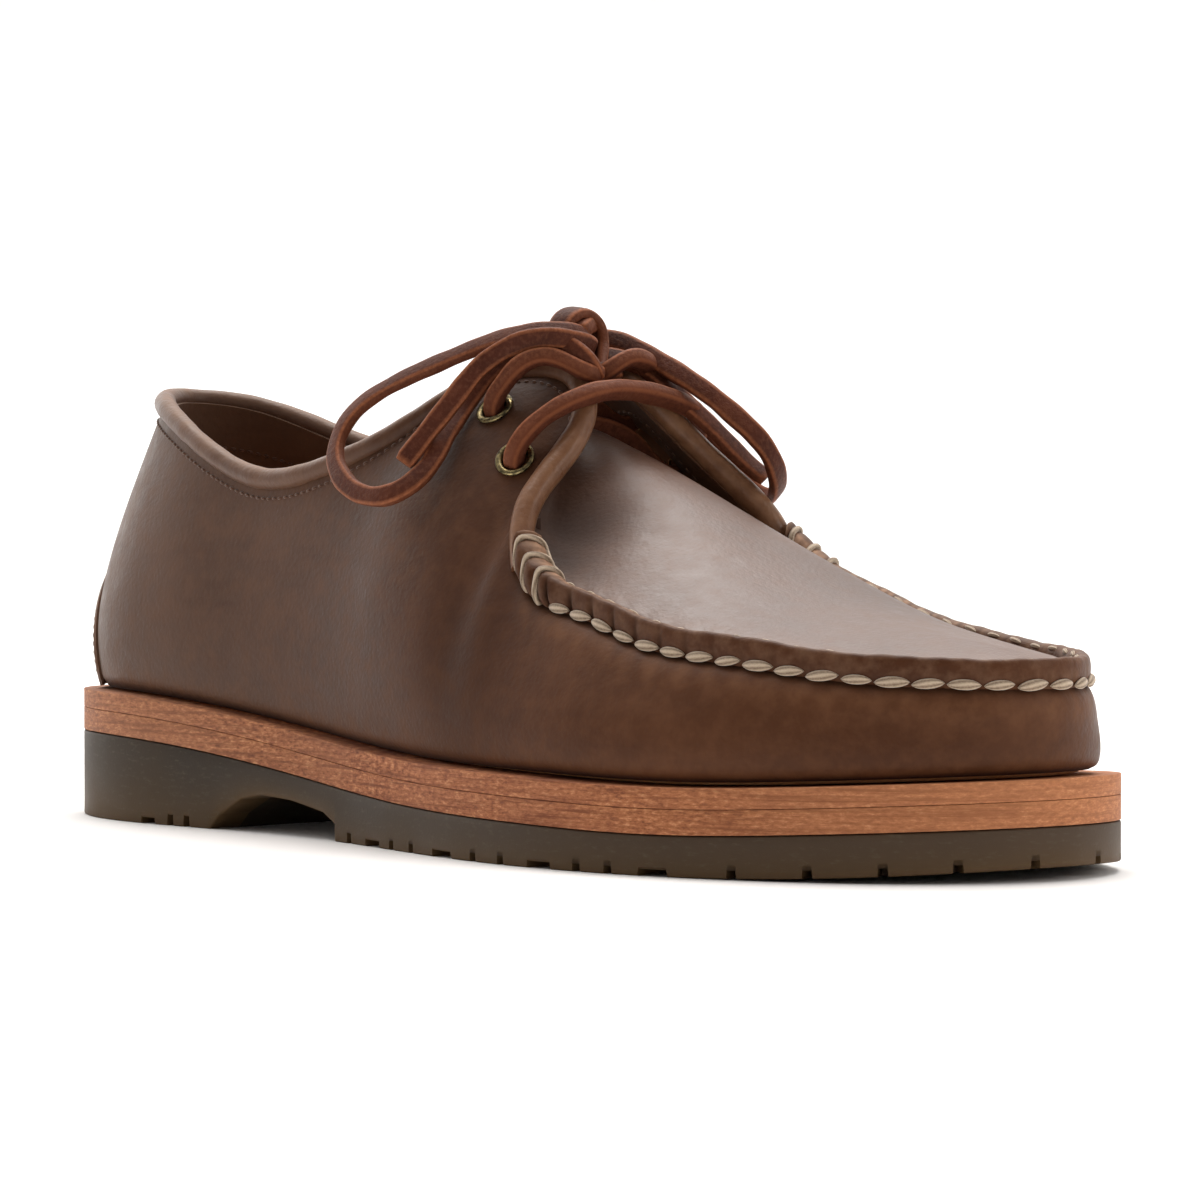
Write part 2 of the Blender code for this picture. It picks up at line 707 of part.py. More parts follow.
def wall_frame(place, rise):
    """A point of the outer wall with the outward normal there and a direction along the shoe."""
    nudge = 0.01
    spots = wall_at(
        np.array([[place, place + nudge, place - nudge, place, place]]),
        np.array([[rise, rise, rise, rise + nudge, rise - nudge]]),
    )[0]
    normal = np.cross(spots[1] - spots[2], spots[3] - spots[4])
    normal /= np.linalg.norm(normal)
    middle = np.array([LENGTH / 2, 0.0, INSTEP_HEIGHT / 2])
    normal *= np.sign(normal @ (spots[0] - middle))
    side = np.cross(normal, [0.0, 0.0, 1.0])
    side /= np.linalg.norm(side)
    return spots[0], normal, side


def turned(name, profile, centre, axis, side, material, sides=12, closed=False):
    """A ring or a plug turned about an axis from a profile of radius and height."""
    third = np.cross(axis, side)
    angle = 2 * math.pi * np.arange(sides) / sides
    rows = []
    for radius, height in profile:
        spoke = np.outer(np.cos(angle), side) + np.outer(np.sin(angle), third)
        rows.append(centre + axis * height + spoke * radius)
    index = np.arange(len(profile) * sides).reshape(len(profile), sides)
    index = np.hstack([index, index[:, :1]])
    if closed:
        faces = faces_of(index) + [index[0, :-1].tolist(), index[-1, :-1].tolist()]
    else:
        faces = faces_of(np.vstack([index, index[:1]]))
    return add_solid(name, np.vstack(rows), faces, material)


def cut_out(solid, cutters):
    """Cuts other solids out of one, keeps the result as its mesh and drops the cutters."""
    for cutter in cutters:
        cut = solid.modifiers.new("cut", "BOOLEAN")
        cut.operation = "DIFFERENCE"
        cut.solver = "EXACT"
        cut.object = cutter
    seen = solid.evaluated_get(bpy.context.evaluated_depsgraph_get())
    mesh = bpy.data.meshes.new_from_object(seen)
    solid.modifiers.clear()
    solid.data = mesh
    mesh.set_sharp_from_angle(angle=math.radians(40.0))
    for cutter in cutters:
        bpy.data.objects.remove(cutter, do_unlink=True)


def make_eyelets(upper):
    """Four eyelets, each a turned ring through its own hole in the flaps."""
    plug = [(EYELET_HOLE, -5.0), (EYELET_HOLE, 4.0)]
    cutters = []
    for name, (place, rise) in EYELETS.items():
        centre, normal, side = wall_frame(place, rise)
        brass = leather_paint("brass_" + name, (0.16, 0.14, 0.06), 0.35, 1.0)
        turned(name, EYELET_PROFILE, centre, normal, side, brass)
        cutters.append(turned("cut_" + name, plug, centre, normal, side, brass, closed=True))
    cut_out(upper, cutters)


def make_notches(outsole, material):
    """Cuts the gaps between the lugs into the outsole's lower edge, all round."""
    ring = np.linspace(0, 50, 1001)
    points, faces = [], []
    for low, high in ((0, 50), (100, 50)):
        places = low + (high - low) * ring / 50
        edge, outward = outline_at(places)
        for along, width, height in NOTCHES:
            k = int(np.argmin(np.abs(edge[:, 0] - along)))
            out = outward[k]
            run = np.array([-out[1], out[0]])
            start = len(points)
            top = float(tread(edge[k, 0])) + height
            for level in (-3.0, top):
                for reach, half in ((-NOTCH_DEPTH, -1), (-NOTCH_DEPTH, 1), (3.0, 1), (3.0, -1)):
                    flat = edge[k] + out * reach + run * half * width / 2
                    points.append([flat[0], flat[1], level])
            box = np.arange(start, start + 8).reshape(2, 4)
            faces += [box[0].tolist(), box[1].tolist()]
            faces += faces_of(np.hstack([box, box[:, :1]]))
    cut_out(outsole, [add_solid("notch_cutter", points, faces, material)])


def even_points(route, spacing):
    """Evenly spaced points on a smooth curve through a route's points."""
    route = np.array(route)
    chord = np.append(0, np.cumsum(np.linalg.norm(np.diff(route, axis=0), axis=1)))
    fine = spline(chord, route, np.linspace(0, chord[-1], 1200)) if len(route) < 60 else route
    way = np.append(0, np.cumsum(np.linalg.norm(np.diff(fine, axis=0), axis=1)))
    count = max(4, round(way[-1] / spacing) + 1)
    wanted = np.linspace(0, way[-1], count)
    return np.column_stack([np.interp(wanted, way, fine[:, a]) for a in range(3)])


def lace_run():
    """The lace's one run through the four eyelets: arc, crossing, bar, crossing, arc."""
    def over(name, height, ahead=0.0, higher=0.0):
        place, rise = EYELETS[name]
        point, normal, _ = wall_frame(place + ahead, rise + higher)
        return point + normal * height

    def past_edge(place, height):
        point, normal, _ = wall_frame(place, 0.995)
        return edge_at(np.array([place]))[0][0] + normal * height

    clear = ROLL_RADIUS + LACE_RADIUS + GAP + 0.7
    return [
        (166.3, -2.6, 100.9),
        (169.3, -6.2, 102.6),
        past_edge(25.9, clear),
        over("eyelet_lateral_upper", 5.5, 0.3, 0.05),
        over("eyelet_lateral_upper", 1.0),
        over("eyelet_lateral_upper", -4.6),
        (157.0, -11.0, 91.6),
        (161.0, 0.0, 91.4),
        (163.5, 11.0, 87.8),
        over("eyelet_medial_lower", -4.4),
        over("eyelet_medial_lower", 1.0),
        over("eyelet_medial_lower", 4.6, -0.1, 0.07),
        past_edge(72.9, clear),
        (175.0, 0.0, 97.6),
        past_edge(26.75, clear),
        over("eyelet_lateral_lower", 4.6, 0.1, 0.07),
        over("eyelet_lateral_lower", 1.0),
        over("eyelet_lateral_lower", -4.4),
        (164.5, -12.0, 91.5),
        (161.5, 0.0, 95.2),
        (158.0, 9.0, 93.5),
        over("eyelet_medial_upper", -4.6),
        over("eyelet_medial_upper", 1.0),
        over("eyelet_medial_upper", 5.5, -0.3, 0.05),
        past_edge(74.0, clear),
        (169.3, 3.6, 102.6),
        (166.5, 0.8, 100.9),
    ]


def make_laces(material):
    """The run through the eyelets, the knot, and the bow's loops and ends, each its own piece."""
    add_cord("lace_bars", even_points(lace_run(), 3.8), LACE_RADIUS, material("lace_bars"))
    middle, half = np.array(KNOT_MIDDLE), np.array(KNOT_HALF)
    turn = np.linspace(-math.pi / 2, math.pi / 2, 9)
    profile = [(max(math.cos(t), 0.08), math.sin(t)) for t in turn]
    knot = turned("lace_knot", profile, np.zeros(3), np.array([0, 0, 1.0]), np.array([1.0, 0, 0]), material("lace_knot"), closed=True)
    for spot in knot.data.vertices:
        unit = np.array(spot.co) / MM + CENTRE
        spot.co = (unit * half + middle - CENTRE) * MM
    for name, route in LACE_ROUTES.items():
        dense = even_points(route, 0.2)
        room = np.linalg.norm((dense - middle) / (half + KNOT_ROOM), axis=1)
        add_cord(name, even_points(dense[room > 1], 5.2), LACE_RADIUS, material(name))


def build():
    for old in list(bpy.data.objects):
        bpy.data.objects.remove(old, do_unlink=True)

    def brown(name):
        return leather_paint("brown_leather_" + name, (0.115, 0.052, 0.028), 0.42)

    def stacked(name):
        return leather_paint("stacked_leather_" + name, (0.43, 0.15, 0.07), 0.6)

    def lace(name):
        return leather_paint("red_brown_" + name, (0.13, 0.032, 0.014), 0.55)

    rubber = leather_paint("olive_rubber", (0.07, 0.058, 0.038), 0.7)
    lining = leather_paint("tan_footbed_leather", (0.36, 0.17, 0.07), 0.6)

    def welt_low(along):
        return stack_top(along) - WELT_THICKNESS

    def midsole_high(along):
        return welt_low(along) - GAP

    def midsole_low(along):
        return midsole_high(along) - MIDSOLE_THICKNESS

    def outsole_high(along):
        return midsole_low(along) - GAP

    plate("welt", welt_low, stack_top, stacked("welt"))
    plate("midsole", midsole_low, midsole_high, stacked("midsole"))
    stops = [row[0] for row in ARCH] + [FOREFOOT_START]
    outsole = plate("outsole", tread, outsole_high, rubber, stops=stops)
    make_notches(outsole, rubber)
    make_insole(lining)
    upper = make_upper(brown("upper"))
    make_eyelets(upper)
    make_tongue(brown("tongue"))
    make_collar_roll(brown("collar_roll"))
    make_heel_patch(brown("heel_patch"))
    make_laces(lace)


build()
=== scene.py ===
# %% [markdown]
# This lesson dresses one hand-sewn moccasin-toe shoe, the right one of a pair. A plain solid model of it was
# packed before: it carries the exact sizes. Here every part gets its leather, thread, rubber and brass.
# Lengths are millimetres in the shoe's own frame while a shape is worked out: x forward from the back of the
# heel, y to the wearer's left and z up from the floor. They become metres only when a mesh is made.

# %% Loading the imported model
import math

import bmesh
import bpy
import numpy as np
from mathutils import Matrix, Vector


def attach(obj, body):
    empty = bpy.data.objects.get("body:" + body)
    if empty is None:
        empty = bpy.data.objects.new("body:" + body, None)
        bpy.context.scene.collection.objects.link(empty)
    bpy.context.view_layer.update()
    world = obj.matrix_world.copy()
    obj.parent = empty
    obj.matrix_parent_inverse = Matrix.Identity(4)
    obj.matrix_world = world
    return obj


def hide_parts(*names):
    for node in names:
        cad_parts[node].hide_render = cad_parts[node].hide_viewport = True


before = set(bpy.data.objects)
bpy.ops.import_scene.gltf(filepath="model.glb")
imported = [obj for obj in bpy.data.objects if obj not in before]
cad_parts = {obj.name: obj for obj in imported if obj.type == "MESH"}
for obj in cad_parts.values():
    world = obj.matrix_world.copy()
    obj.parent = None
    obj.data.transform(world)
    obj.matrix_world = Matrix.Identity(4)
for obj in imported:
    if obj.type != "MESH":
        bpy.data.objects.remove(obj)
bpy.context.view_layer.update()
print("packed parts:", ", ".join(sorted(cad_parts)))

# %% [markdown]
# The sole's outline is the measure for everything else: the stack, the rubber and the foot of the upper all
# follow it. It is kept as twenty points once round, in per cent of the length and of the width at the ball.
# A closed cubic spline runs through them, so the outline has no corners. "Place" is how far round one is, in
# per cent: 0 is the back of the heel, 50 the tip of the toe, and the outer side comes first.

# %% Sizes and the sole's outline
MM = 0.001
LENGTH, BALL_WIDTH, INSTEP_HEIGHT = 300.0, 104.0, 100.0
GAP, WALL = 0.3, 2.0
UP = np.array([0.0, 0.0, 1.0])
OUTLINE = [
    (0, 0), (2.7, -21.2), (10, -33.7), (20.7, -36), (36.7, -36.9), (50, -45.1), (63.3, -52.6), (75, -52.1),
    (87.3, -41.5), (96, -23.7), (100, 2.3), (97.3, 25.4), (89.3, 40.7), (76.7, 47.3), (63.3, 42.9),
    (48.3, 29.9), (35, 27), (20.7, 33.2), (10, 32.7), (2.7, 21.2),
]
TOE_ROW = 10


def smooth(t):
    """Eases from 0 to 1: three t squared minus two t cubed."""
    t = np.clip(t, 0, 1)
    return t * t * (3 - 2 * t)


def bump(distance, width):
    """A soft bell: one at distance 0, fading over width."""
    return np.exp(-((distance / width) ** 2))


def unit(vectors):
    """The same directions, one long."""
    return vectors / np.linalg.norm(vectors, axis=-1, keepdims=True)


def way_along(line):
    """How far along a line of points each one is: the steps' lengths, added up."""
    return np.append(0, np.cumsum(np.linalg.norm(np.diff(line, axis=0), axis=1)))


def spline(knots, rows, wanted, period=None):
    """Cubic spline through rows at knots: closed when a period is given, else with free ends."""
    knots = np.asarray(knots, float)
    rows = np.asarray(rows, float).reshape(len(knots), -1)
    wanted = np.asarray(wanted, float)
    if period:
        knots = np.append(knots, knots[0] + period)
        rows = np.vstack([rows, rows[:1]])
        wanted = knots[0] + (wanted - knots[0]) % period
    step = np.diff(knots)
    slope = np.diff(rows, axis=0) / step[:, None]
    count = len(knots)
    system = np.eye(count)
    right = np.zeros_like(rows)
    for i in range(1, count - 1):
        system[i, i - 1 : i + 2] = step[i - 1], 2 * (step[i - 1] + step[i]), step[i]
        right[i] = 6 * (slope[i] - slope[i - 1])
    if period:
        system[0, [0, 1, -2]] = 2 * (step[-1] + step[0]), step[0], step[-1]
        right[0] = 6 * (slope[0] - slope[-1])
        system[-1, [0, -1]] = -1, 1
    bend = np.linalg.solve(system, right)
    i = np.clip(np.searchsorted(knots, wanted, "right") - 1, 0, count - 2)
    after = ((wanted - knots[i]) / step[i])[..., None]
    before = 1 - after
    curve = (before**3 - before) * bend[i] + (after**3 - after) * bend[i + 1]
    return before * rows[i] + after * rows[i + 1] + curve * step[i][..., None] ** 2 / 6


def outline_at(place, inset=0.0):
    """Points of the sole's edge at a place round it, moved in by inset, with the outward directions."""
    corners = np.array(OUTLINE) * [LENGTH / 100, BALL_WIDTH / 100]
    chord = way_along(np.vstack([corners, corners[:1]]))
    place = np.asarray(place, float) % 100
    way = np.interp(place, [0, 50, 100], [0, chord[TOE_ROW], chord[-1]])
    nudge = 0.5
    point, ahead, behind = (spline(chord[:-1], corners, way + shift, chord[-1]) for shift in (0, nudge, -nudge))
    run = unit(ahead - behind)
    outward = np.stack([run[..., 1], -run[..., 0]], axis=-1)
    return point - outward * np.asarray(inset)[..., None], outward


RING_EDGE = outline_at(np.linspace(0, 100, 4001))[0]
RING_WAY = way_along(RING_EDGE)
coarse = outline_at(np.linspace(0, 100, 801))[0]
CENTRE = np.array([LENGTH / 2, (coarse[:, 1].min() + coarse[:, 1].max()) / 2, 0.0])
print(f"sole edge {RING_WAY[-1]:.1f} mm once round, model centre {np.round(CENTRE, 3)}")

# %% [markdown]
# The camera comes first, because the laces are judged against what it sees. The picture was taken from low
# down in front of the outer side: the lens is only as high as the collar and looks slightly up. Its place and
# direction were worked out from the sole's known sizes. The lens is long, so that the one shoe fills the view.

# %% Camera
EYE = np.array([1089.0, -824.5, 93.3])
TURN, TILT = math.radians(46.4166), math.radians(-2.5997)
FOCAL_PIXELS, PICTURE = 2831.58, 1200
AIM_PIXEL = (506.0, 822.0)  # the pixel of the photo's own view that the camera looks at
CLOSER = 2.03  # how much the view is enlarged round it
SENSOR = 36.0

forward = np.array([-math.sin(TURN) * math.cos(TILT), math.cos(TURN) * math.cos(TILT), -math.sin(TILT)])
rightward = np.array([math.cos(TURN), math.sin(TURN), 0.0])
upward = np.cross(rightward, forward)
aim = forward * FOCAL_PIXELS + rightward * (AIM_PIXEL[0] - PICTURE / 2) + upward * (PICTURE / 2 - AIM_PIXEL[1])
camera_data = bpy.data.cameras.new("camera")
camera_data.sensor_width = SENSOR
camera_data.lens = SENSOR * FOCAL_PIXELS * CLOSER / PICTURE
camera_data.clip_start, camera_data.clip_end = 0.05, 60.0
camera = bpy.data.objects.new("camera", camera_data)
camera.location = (EYE - CENTRE) * MM
camera.rotation_euler = Vector(aim).to_track_quat("-Z", "Y").to_euler()
bpy.context.scene.collection.objects.link(camera)
bpy.context.scene.camera = camera
print(f"lens {camera_data.lens:.1f} mm")

# %% [markdown]
# A finish is a small network of nodes. Each one here reads Object coordinates, which are metres on every
# piece, so one grain size is right everywhere, or it reads numbers that the piece carries on its own points.
# A recipe adds the nodes and keeps the colour so far, so that each layer of colour is one line.


class Recipe:
    """The nodes of a material or a world while they are put together, and the colour of the layers so far."""

    def __init__(self, owner, shader="Principled BSDF", coordinates="Object"):
        owner.use_nodes = True
        self.owner, self.tree = owner, owner.node_tree
        self.shader = self.tree.nodes[shader]
        self.where = self.node("TexCoord").outputs[coordinates]

    def put(self, socket, value):
        """Links a value to a socket if it comes from another node, and else sets it there."""
        if isinstance(value, bpy.types.NodeSocket):
            self.tree.links.new(value, socket)
        else:
            socket.default_value = value

    def node(self, kind, inputs=(), **settings):
        """Adds one node, with settings as attributes and inputs as values or as links."""
        made = self.tree.nodes.new("ShaderNode" + kind)
        for key, value in settings.items():
            setattr(made, key, value)
        for key, value in dict(inputs).items():
            self.put(made.inputs[key], value)
        return made

    def noise(self, scale, detail=3.0, rough=0.55, stretch=None):
        """Cloudy noise: scale is lumps in a metre, and stretch scales each direction on its own."""
        where = self.where
        if stretch:
            where = self.node("Mapping", {"Vector": where, "Scale": stretch}).outputs[0]
        inputs = {"Vector": where, "Scale": scale, "Detail": detail, "Roughness": rough}
        return self.node("TexNoise", inputs).outputs["Fac"]

    def towards(self, direction):
        """How far a point lies in a direction: the dot product."""
        return self.node("VectorMath", {0: self.where, 1: direction}, operation="DOT_PRODUCT").outputs["Value"]

    def mapped(self, value, low, high, new_low, new_high):
        """Moves a value from one range to another and stops it there."""
        inputs = {"Value": value, "From Min": low, "From Max": high, "To Min": new_low, "To Max": new_high}
        return self.node("MapRange", inputs).outputs[0]

    def maths(self, operation, first, second=0.5):
        """One step of arithmetic."""
        return self.node("Math", {0: first, 1: second}, operation=operation).outputs[0]

    def carried(self, name):
        """A number that the piece carries on its own points."""
        return self.node("Attribute", attribute_name=name).outputs["Fac"]

    def raised(self, height, depth, strength=1.0, under=None):
        """A bump from a height of 0 to 1 that stands depth metres high, on top of another bump."""
        inputs = {"Height": height, "Distance": depth, "Strength": strength}
        if under is not None:
            inputs["Normal"] = under
        return self.node("Bump", inputs).outputs[0]

    def ramp(self, value, stops):
        """Starts the colour: colours at stops along a value."""
        made = self.node("ValToRGB", {"Fac": value})
        line = made.color_ramp.elements
        while len(line) < len(stops):
            line.new(0.5)
        for element, (spot, colour) in zip(line, stops):
            element.position = spot
            element.color = (*colour, 1.0)
        self.colour = made.outputs["Color"]

    def tint(self, colour, share, *span):
        """Lays a colour over the colour so far, as much as share says. A span is what the share is mapped by."""
        share = self.mapped(share, *span) if span else share
        inputs = {0: share, 6: self.colour, 7: (*colour, 1.0)}
        self.colour = self.node("Mix", inputs, data_type="RGBA").outputs[2]

    def done(self, **sockets):
        """Puts the colour and what is given on the shader's sockets, named with _ for a space."""
        for key, value in ({"Base_Color": self.colour} | sockets).items():
            self.put(self.shader.inputs[key.replace("_", " ")], value)
        print(f"{self.owner.name}: {len(self.tree.nodes)} nodes")
        return self.owner


def new_finish(name):
    """A recipe for a new material of that name."""
    return Recipe(bpy.data.materials.new(name))


# %% [markdown]
# The upper is waxy, oiled leather. Its colour shifts in broad clouds where it was stretched over the last.
# Numbers that the piece carries make it paler where it is pulled tight or rubbed, and on the flaps of the binding
# the same pale tone is painted light; they also darken it with painted shade in the hollows and creases. A grey
# tint towards the heel is a painted reflection of the pale surroundings. A fine grain of small cells and faint
# drag marks lie over all of it. A lighter look comes from the same recipe with other colours, so the plug, the
# binding, the tongue and the lining are close relatives.

# %% Oiled leather
FORWARD = (1.0, 0.0, 0.0)
HEEL_SHEEN_GREY = (0.127, 0.09, 0.069)
BROWN = (0.039, 0.013, 0.0052), (0.07, 0.0248, 0.0098), (0.107, 0.0405, 0.0165)


def leather(name, dark, middle, light, wear_and_light_tone, rough=(0.42, 0.58), grain=1.0, shine=0.13, slot="brown_leather"):
    """Waxy leather: clouds of colour, cells of grain, faint drag marks, a painted grey reflection towards the
    heel, and from the piece's points a pale tone for rubbing and for painted light, and painted shade.
    """
    mix = new_finish(name)
    mix.ramp(mix.noise(16.0, 4.0, 0.6), [(0.22, dark), (0.5, middle), (0.8, light)])
    mottle = mix.noise(230.0, 4.0, 0.62)
    mix.tint(wear_and_light_tone, mottle, 0.42, 0.75, 0.0, 0.22)
    # painted reflection: greyer towards the heel, where the leather mirrors the pale surroundings at a grazing
    # angle
    mix.tint(HEEL_SHEEN_GREY, mix.towards(FORWARD), -0.13, 0.03, 0.42, 0.0)
    mix.tint(dark, mix.noise(140.0, 3.0, 0.6, (0.35, 0.35, 1.6)), 0.5, 0.78, 0.0, 0.22)
    # the pale tone from the piece's points: rubbing on most pieces, painted light on the flaps of the binding
    mix.tint(wear_and_light_tone, mix.maths("MULTIPLY", mix.carried("wear_and_light"), mix.mapped(mottle, 0.3, 0.62, 0.45, 1.0)))
    # painted shade from the piece's points: a darker colour here and a rougher surface below
    shade = mix.carried("shade")
    mix.tint(tuple(0.35 * c for c in dark), shade)
    voronoi = {"Vector": mix.where, "Scale": 950.0, "Randomness": 1.0}
    cells = mix.node("TexVoronoi", voronoi, feature="SMOOTH_F1").outputs["Distance"]
    pores = mix.noise(1900.0, 2.0, 0.6)
    height = mix.maths("ADD", mix.maths("MULTIPLY", cells, 0.65), mix.maths("MULTIPLY", pores, 0.5))
    waves = mix.raised(mix.noise(75.0, 3.0, 0.55), 0.0006, 0.25)
    dull = mix.maths("ADD", mix.mapped(mottle, 0.3, 0.7, *rough), mix.mapped(shade, 0.0, 1.0, 0.0, 0.5))
    return mix.done(
        Normal=mix.raised(height, 0.00014 * grain, 0.8, waves), Roughness=dull, Specular_IOR_Level=shine,
        Sheen_Weight=0.03, Sheen_Roughness=0.4,
    )


UPPER_LEATHER = leather("brown_oiled_leather", *BROWN, (0.2, 0.088, 0.041))
SEAM_LEATHER = leather("seam_leather", *BROWN, (0.4, 0.235, 0.145))
PLUG_LEATHER = leather(
    "plug_leather", (0.05, 0.019, 0.009), (0.085, 0.034, 0.017), (0.12, 0.051, 0.026), (0.2, 0.1, 0.058),
    (0.4, 0.5), shine=0.5,
)
ROLL_LEATHER = leather(
    "binding_leather", (0.075, 0.028, 0.012), (0.125, 0.05, 0.023), (0.18, 0.08, 0.04), (0.32, 0.165, 0.085),
    (0.26, 0.4), shine=0.24,
)
TONGUE_LEATHER = leather(
    "tongue_leather", (0.04, 0.015, 0.008), (0.062, 0.024, 0.012), (0.085, 0.035, 0.018), (0.15, 0.072, 0.04),
    (0.5, 0.66),
)
BAND_LEATHER = leather(
    "inner_band_leather", (0.08, 0.034, 0.017), (0.115, 0.052, 0.026), (0.15, 0.073, 0.037), (0.22, 0.11, 0.056),
    (0.45, 0.6),
)
LINING_LEATHER = leather(
    "amber_lining_leather", (0.42, 0.185, 0.075), (0.54, 0.26, 0.11), (0.64, 0.35, 0.155), (0.68, 0.42, 0.22),
    (0.5, 0.66), 0.8, slot="footbed_leather",
)

# %% [markdown]
# The laces are thongs cut from red-brown hide. Their face is smooth and dark. Pale rims run along both cut
# edges: partly the paler raw middle of the leather, partly a painted highlight where the edges catch the light.
# Each lace carries two numbers on its points: "edge" is 1 along the cut edges, and "fuzz" is 1 where the flesh
# side shows, so the finish follows every twist without any picture.

# %% Lace leather
def lace_finish():
    """Red-brown thong: pale edges, raw leather with a painted highlight along them, fibres along the cut, and
    slight gloss on the smooth face.
    """
    mix = new_finish("lace_thong_leather")
    tones = [(0.32, (0.045, 0.0115, 0.0055)), (0.52, (0.075, 0.0195, 0.009)), (0.7, (0.115, 0.034, 0.016))]
    mix.ramp(mix.noise(60.0, 4.0, 0.6), tones)
    fibres = mix.noise(1100.0, 4.0, 0.65)
    mix.tint((0.15, 0.052, 0.027), fibres, 0.45, 0.75, 0.0, 0.6)
    edge, fuzz = mix.carried("edge"), mix.carried("fuzz")
    mix.tint((0.3, 0.1, 0.042), mix.maths("MULTIPLY", edge, mix.mapped(fibres, 0.3, 0.6, 0.5, 1.0)))
    mix.tint((0.11, 0.031, 0.014), mix.maths("MULTIPLY", fuzz, mix.mapped(fibres, 0.35, 0.65, 0.15, 0.75)))
    return mix.done(
        Normal=mix.raised(fibres, 0.0003, 0.8), Roughness=mix.mapped(fuzz, 0.0, 1.0, 0.55, 0.85),
        Specular_IOR_Level=0.13,
    )


LACE_LEATHER = lace_finish()

# %% [markdown]
# The edge of the sole's leather is cut hide, sanded and left orange-tan. Seen close up it is a mass of short
# fibre ends: darker pits and paler flecks, drawn out along the edge, with a few long darker streaks. The finish
# also shifts slowly in broad clouds, turns greyer towards the heel and paler and more orange towards the toe.

# %% Cut edge of stacked leather
def stack_finish():
    """Sanded leather edge: flecks stretched along the sole, long streaks, and dark pits."""
    mix = new_finish("stacked_leather_edge")
    flecks = mix.noise(950.0, 5.0, 0.72, (0.55, 0.55, 1.7))
    pit, dark, middle, pale = (0.085, 0.02, 0.008), (0.25, 0.076, 0.03), (0.43, 0.155, 0.06), (0.72, 0.36, 0.17)
    mix.ramp(flecks, [(0.32, pit), (0.43, dark), (0.55, middle), (0.7, pale)])
    mix.tint((0.38, 0.15, 0.07), mix.noise(22.0, 3.0, 0.5), 0.4, 0.7, 0.0, 0.45)
    mix.tint((0.16, 0.043, 0.016), mix.noise(420.0, 3.0, 0.6, (0.1, 0.1, 3.2)), 0.47, 0.7, 0.0, 0.85)
    # greyer towards the heel, paler and more orange towards the toe
    forwards = mix.towards(FORWARD)
    mix.tint((0.36, 0.19, 0.11), forwards, -0.1, 0.0, 0.3, 0.0)
    mix.tint((0.6, 0.26, 0.11), forwards, 0.06, 0.15, 0.0, 0.3)
    return mix.done(Normal=mix.raised(flecks, 0.00022, 0.6), Roughness=0.7, Specular_IOR_Level=0.25)


STACK_LEATHER = stack_finish()

# %% [markdown]
# The rubber is a dull olive brown, moulded, with a faint haze of dust. It is painted a little browner low
# down, for the light that shines through the thin lugs and where it has been handled, and paler and browner
# towards the toe, a painted light. The piece carries "low", which is 1 at the tread, for the shift low down.

# %% Olive rubber
def rubber_finish():
    """Moulded rubber: even olive, fine stipple, browner and paler towards the tread, painted light towards the
    toe.
    """
    mix = new_finish("olive_rubber_moulded")
    cloud = mix.noise(40.0, 4.0, 0.6)
    mix.ramp(cloud, [(0.35, (0.028, 0.0185, 0.0105)), (0.65, (0.039, 0.026, 0.015))])
    # painted light: paler and browner towards the toe
    mix.tint((0.1, 0.062, 0.037), mix.towards(FORWARD), -0.08, 0.14, 0.0, 0.5)
    mix.tint((0.105, 0.06, 0.024), mix.carried("low"))
    mix.tint((0.13, 0.11, 0.075), mix.noise(600.0, 4.0, 0.7, (0.6, 0.6, 2.0)), 0.55, 0.8, 0.0, 0.35)
    return mix.done(
        Normal=mix.raised(mix.noise(1500.0, 2.0, 0.6), 0.00008, 0.5),
        Roughness=mix.mapped(cloud, 0.3, 0.7, 0.5, 0.64), Specular_IOR_Level=0.2,
    )


RUBBER = rubber_finish()

# %% [markdown]
# The moccasin seam is sewn with waxed linen, thick and beige, and the quarters with a thin brown thread. Both
# are plied: fine ridges run round the thread at a slant. Every stitch carries "ply", a number that climbs
# along and round it, and a wave of that number gives the strands. The eyelets are aged brass.

# %% Threads and brass
def thread_finish(name, dark, light, depth):
    """Plied thread: slanting strands from the stitch's own number, with fluff and a soft sheen."""
    mix = new_finish(name)
    strand = mix.mapped(mix.maths("SINE", mix.carried("ply")), -1.0, 1.0, 0.0, 1.0)
    fluff = mix.noise(2600.0, 3.0, 0.65)
    tone = mix.maths("ADD", mix.maths("MULTIPLY", strand, 0.5), mix.maths("MULTIPLY", fluff, 0.6))
    mix.ramp(tone, [(0.25, dark), (0.8, light)])
    height = mix.maths("ADD", strand, fluff)
    return mix.done(Normal=mix.raised(height, depth, 0.5), Roughness=0.72, Sheen_Weight=0.2)


def brass_finish():
    """Aged brass: yellow metal under a brown-green bloom, rougher where the bloom is thick."""
    mix = new_finish("aged_brass")
    bloom = mix.noise(900.0, 4.0, 0.65)
    mix.ramp(bloom, [(0.38, (0.34, 0.27, 0.13)), (0.6, (0.06, 0.05, 0.028))])
    return mix.done(
        Normal=mix.raised(bloom, 0.00003, 0.4), Roughness=mix.mapped(bloom, 0.35, 0.65, 0.24, 0.48), Metallic=1.0
    )


LINEN_THREAD = thread_finish("waxed_linen_thread", (0.17, 0.11, 0.064), (0.52, 0.405, 0.29), 0.0001)
BROWN_THREAD = thread_finish("brown_sewing_thread", (0.03, 0.011, 0.005), (0.15, 0.062, 0.028), 0.00008)
BRASS = brass_finish()

# %% [markdown]
# Every shape below is a grid of points: rows and columns of one array. Turning grids into a mesh is the same
# job each time, so it is done once here. Quads join neighbouring rows and columns, coinciding points at seams
# and poles are merged, and the faces are turned outwards at the end.

# %% From grids of points to a piece
MERGE = 1e-6
SHEET_CREASE, CORD_CREASE, THREAD_CREASE = 60.0, 70.0, 80.0


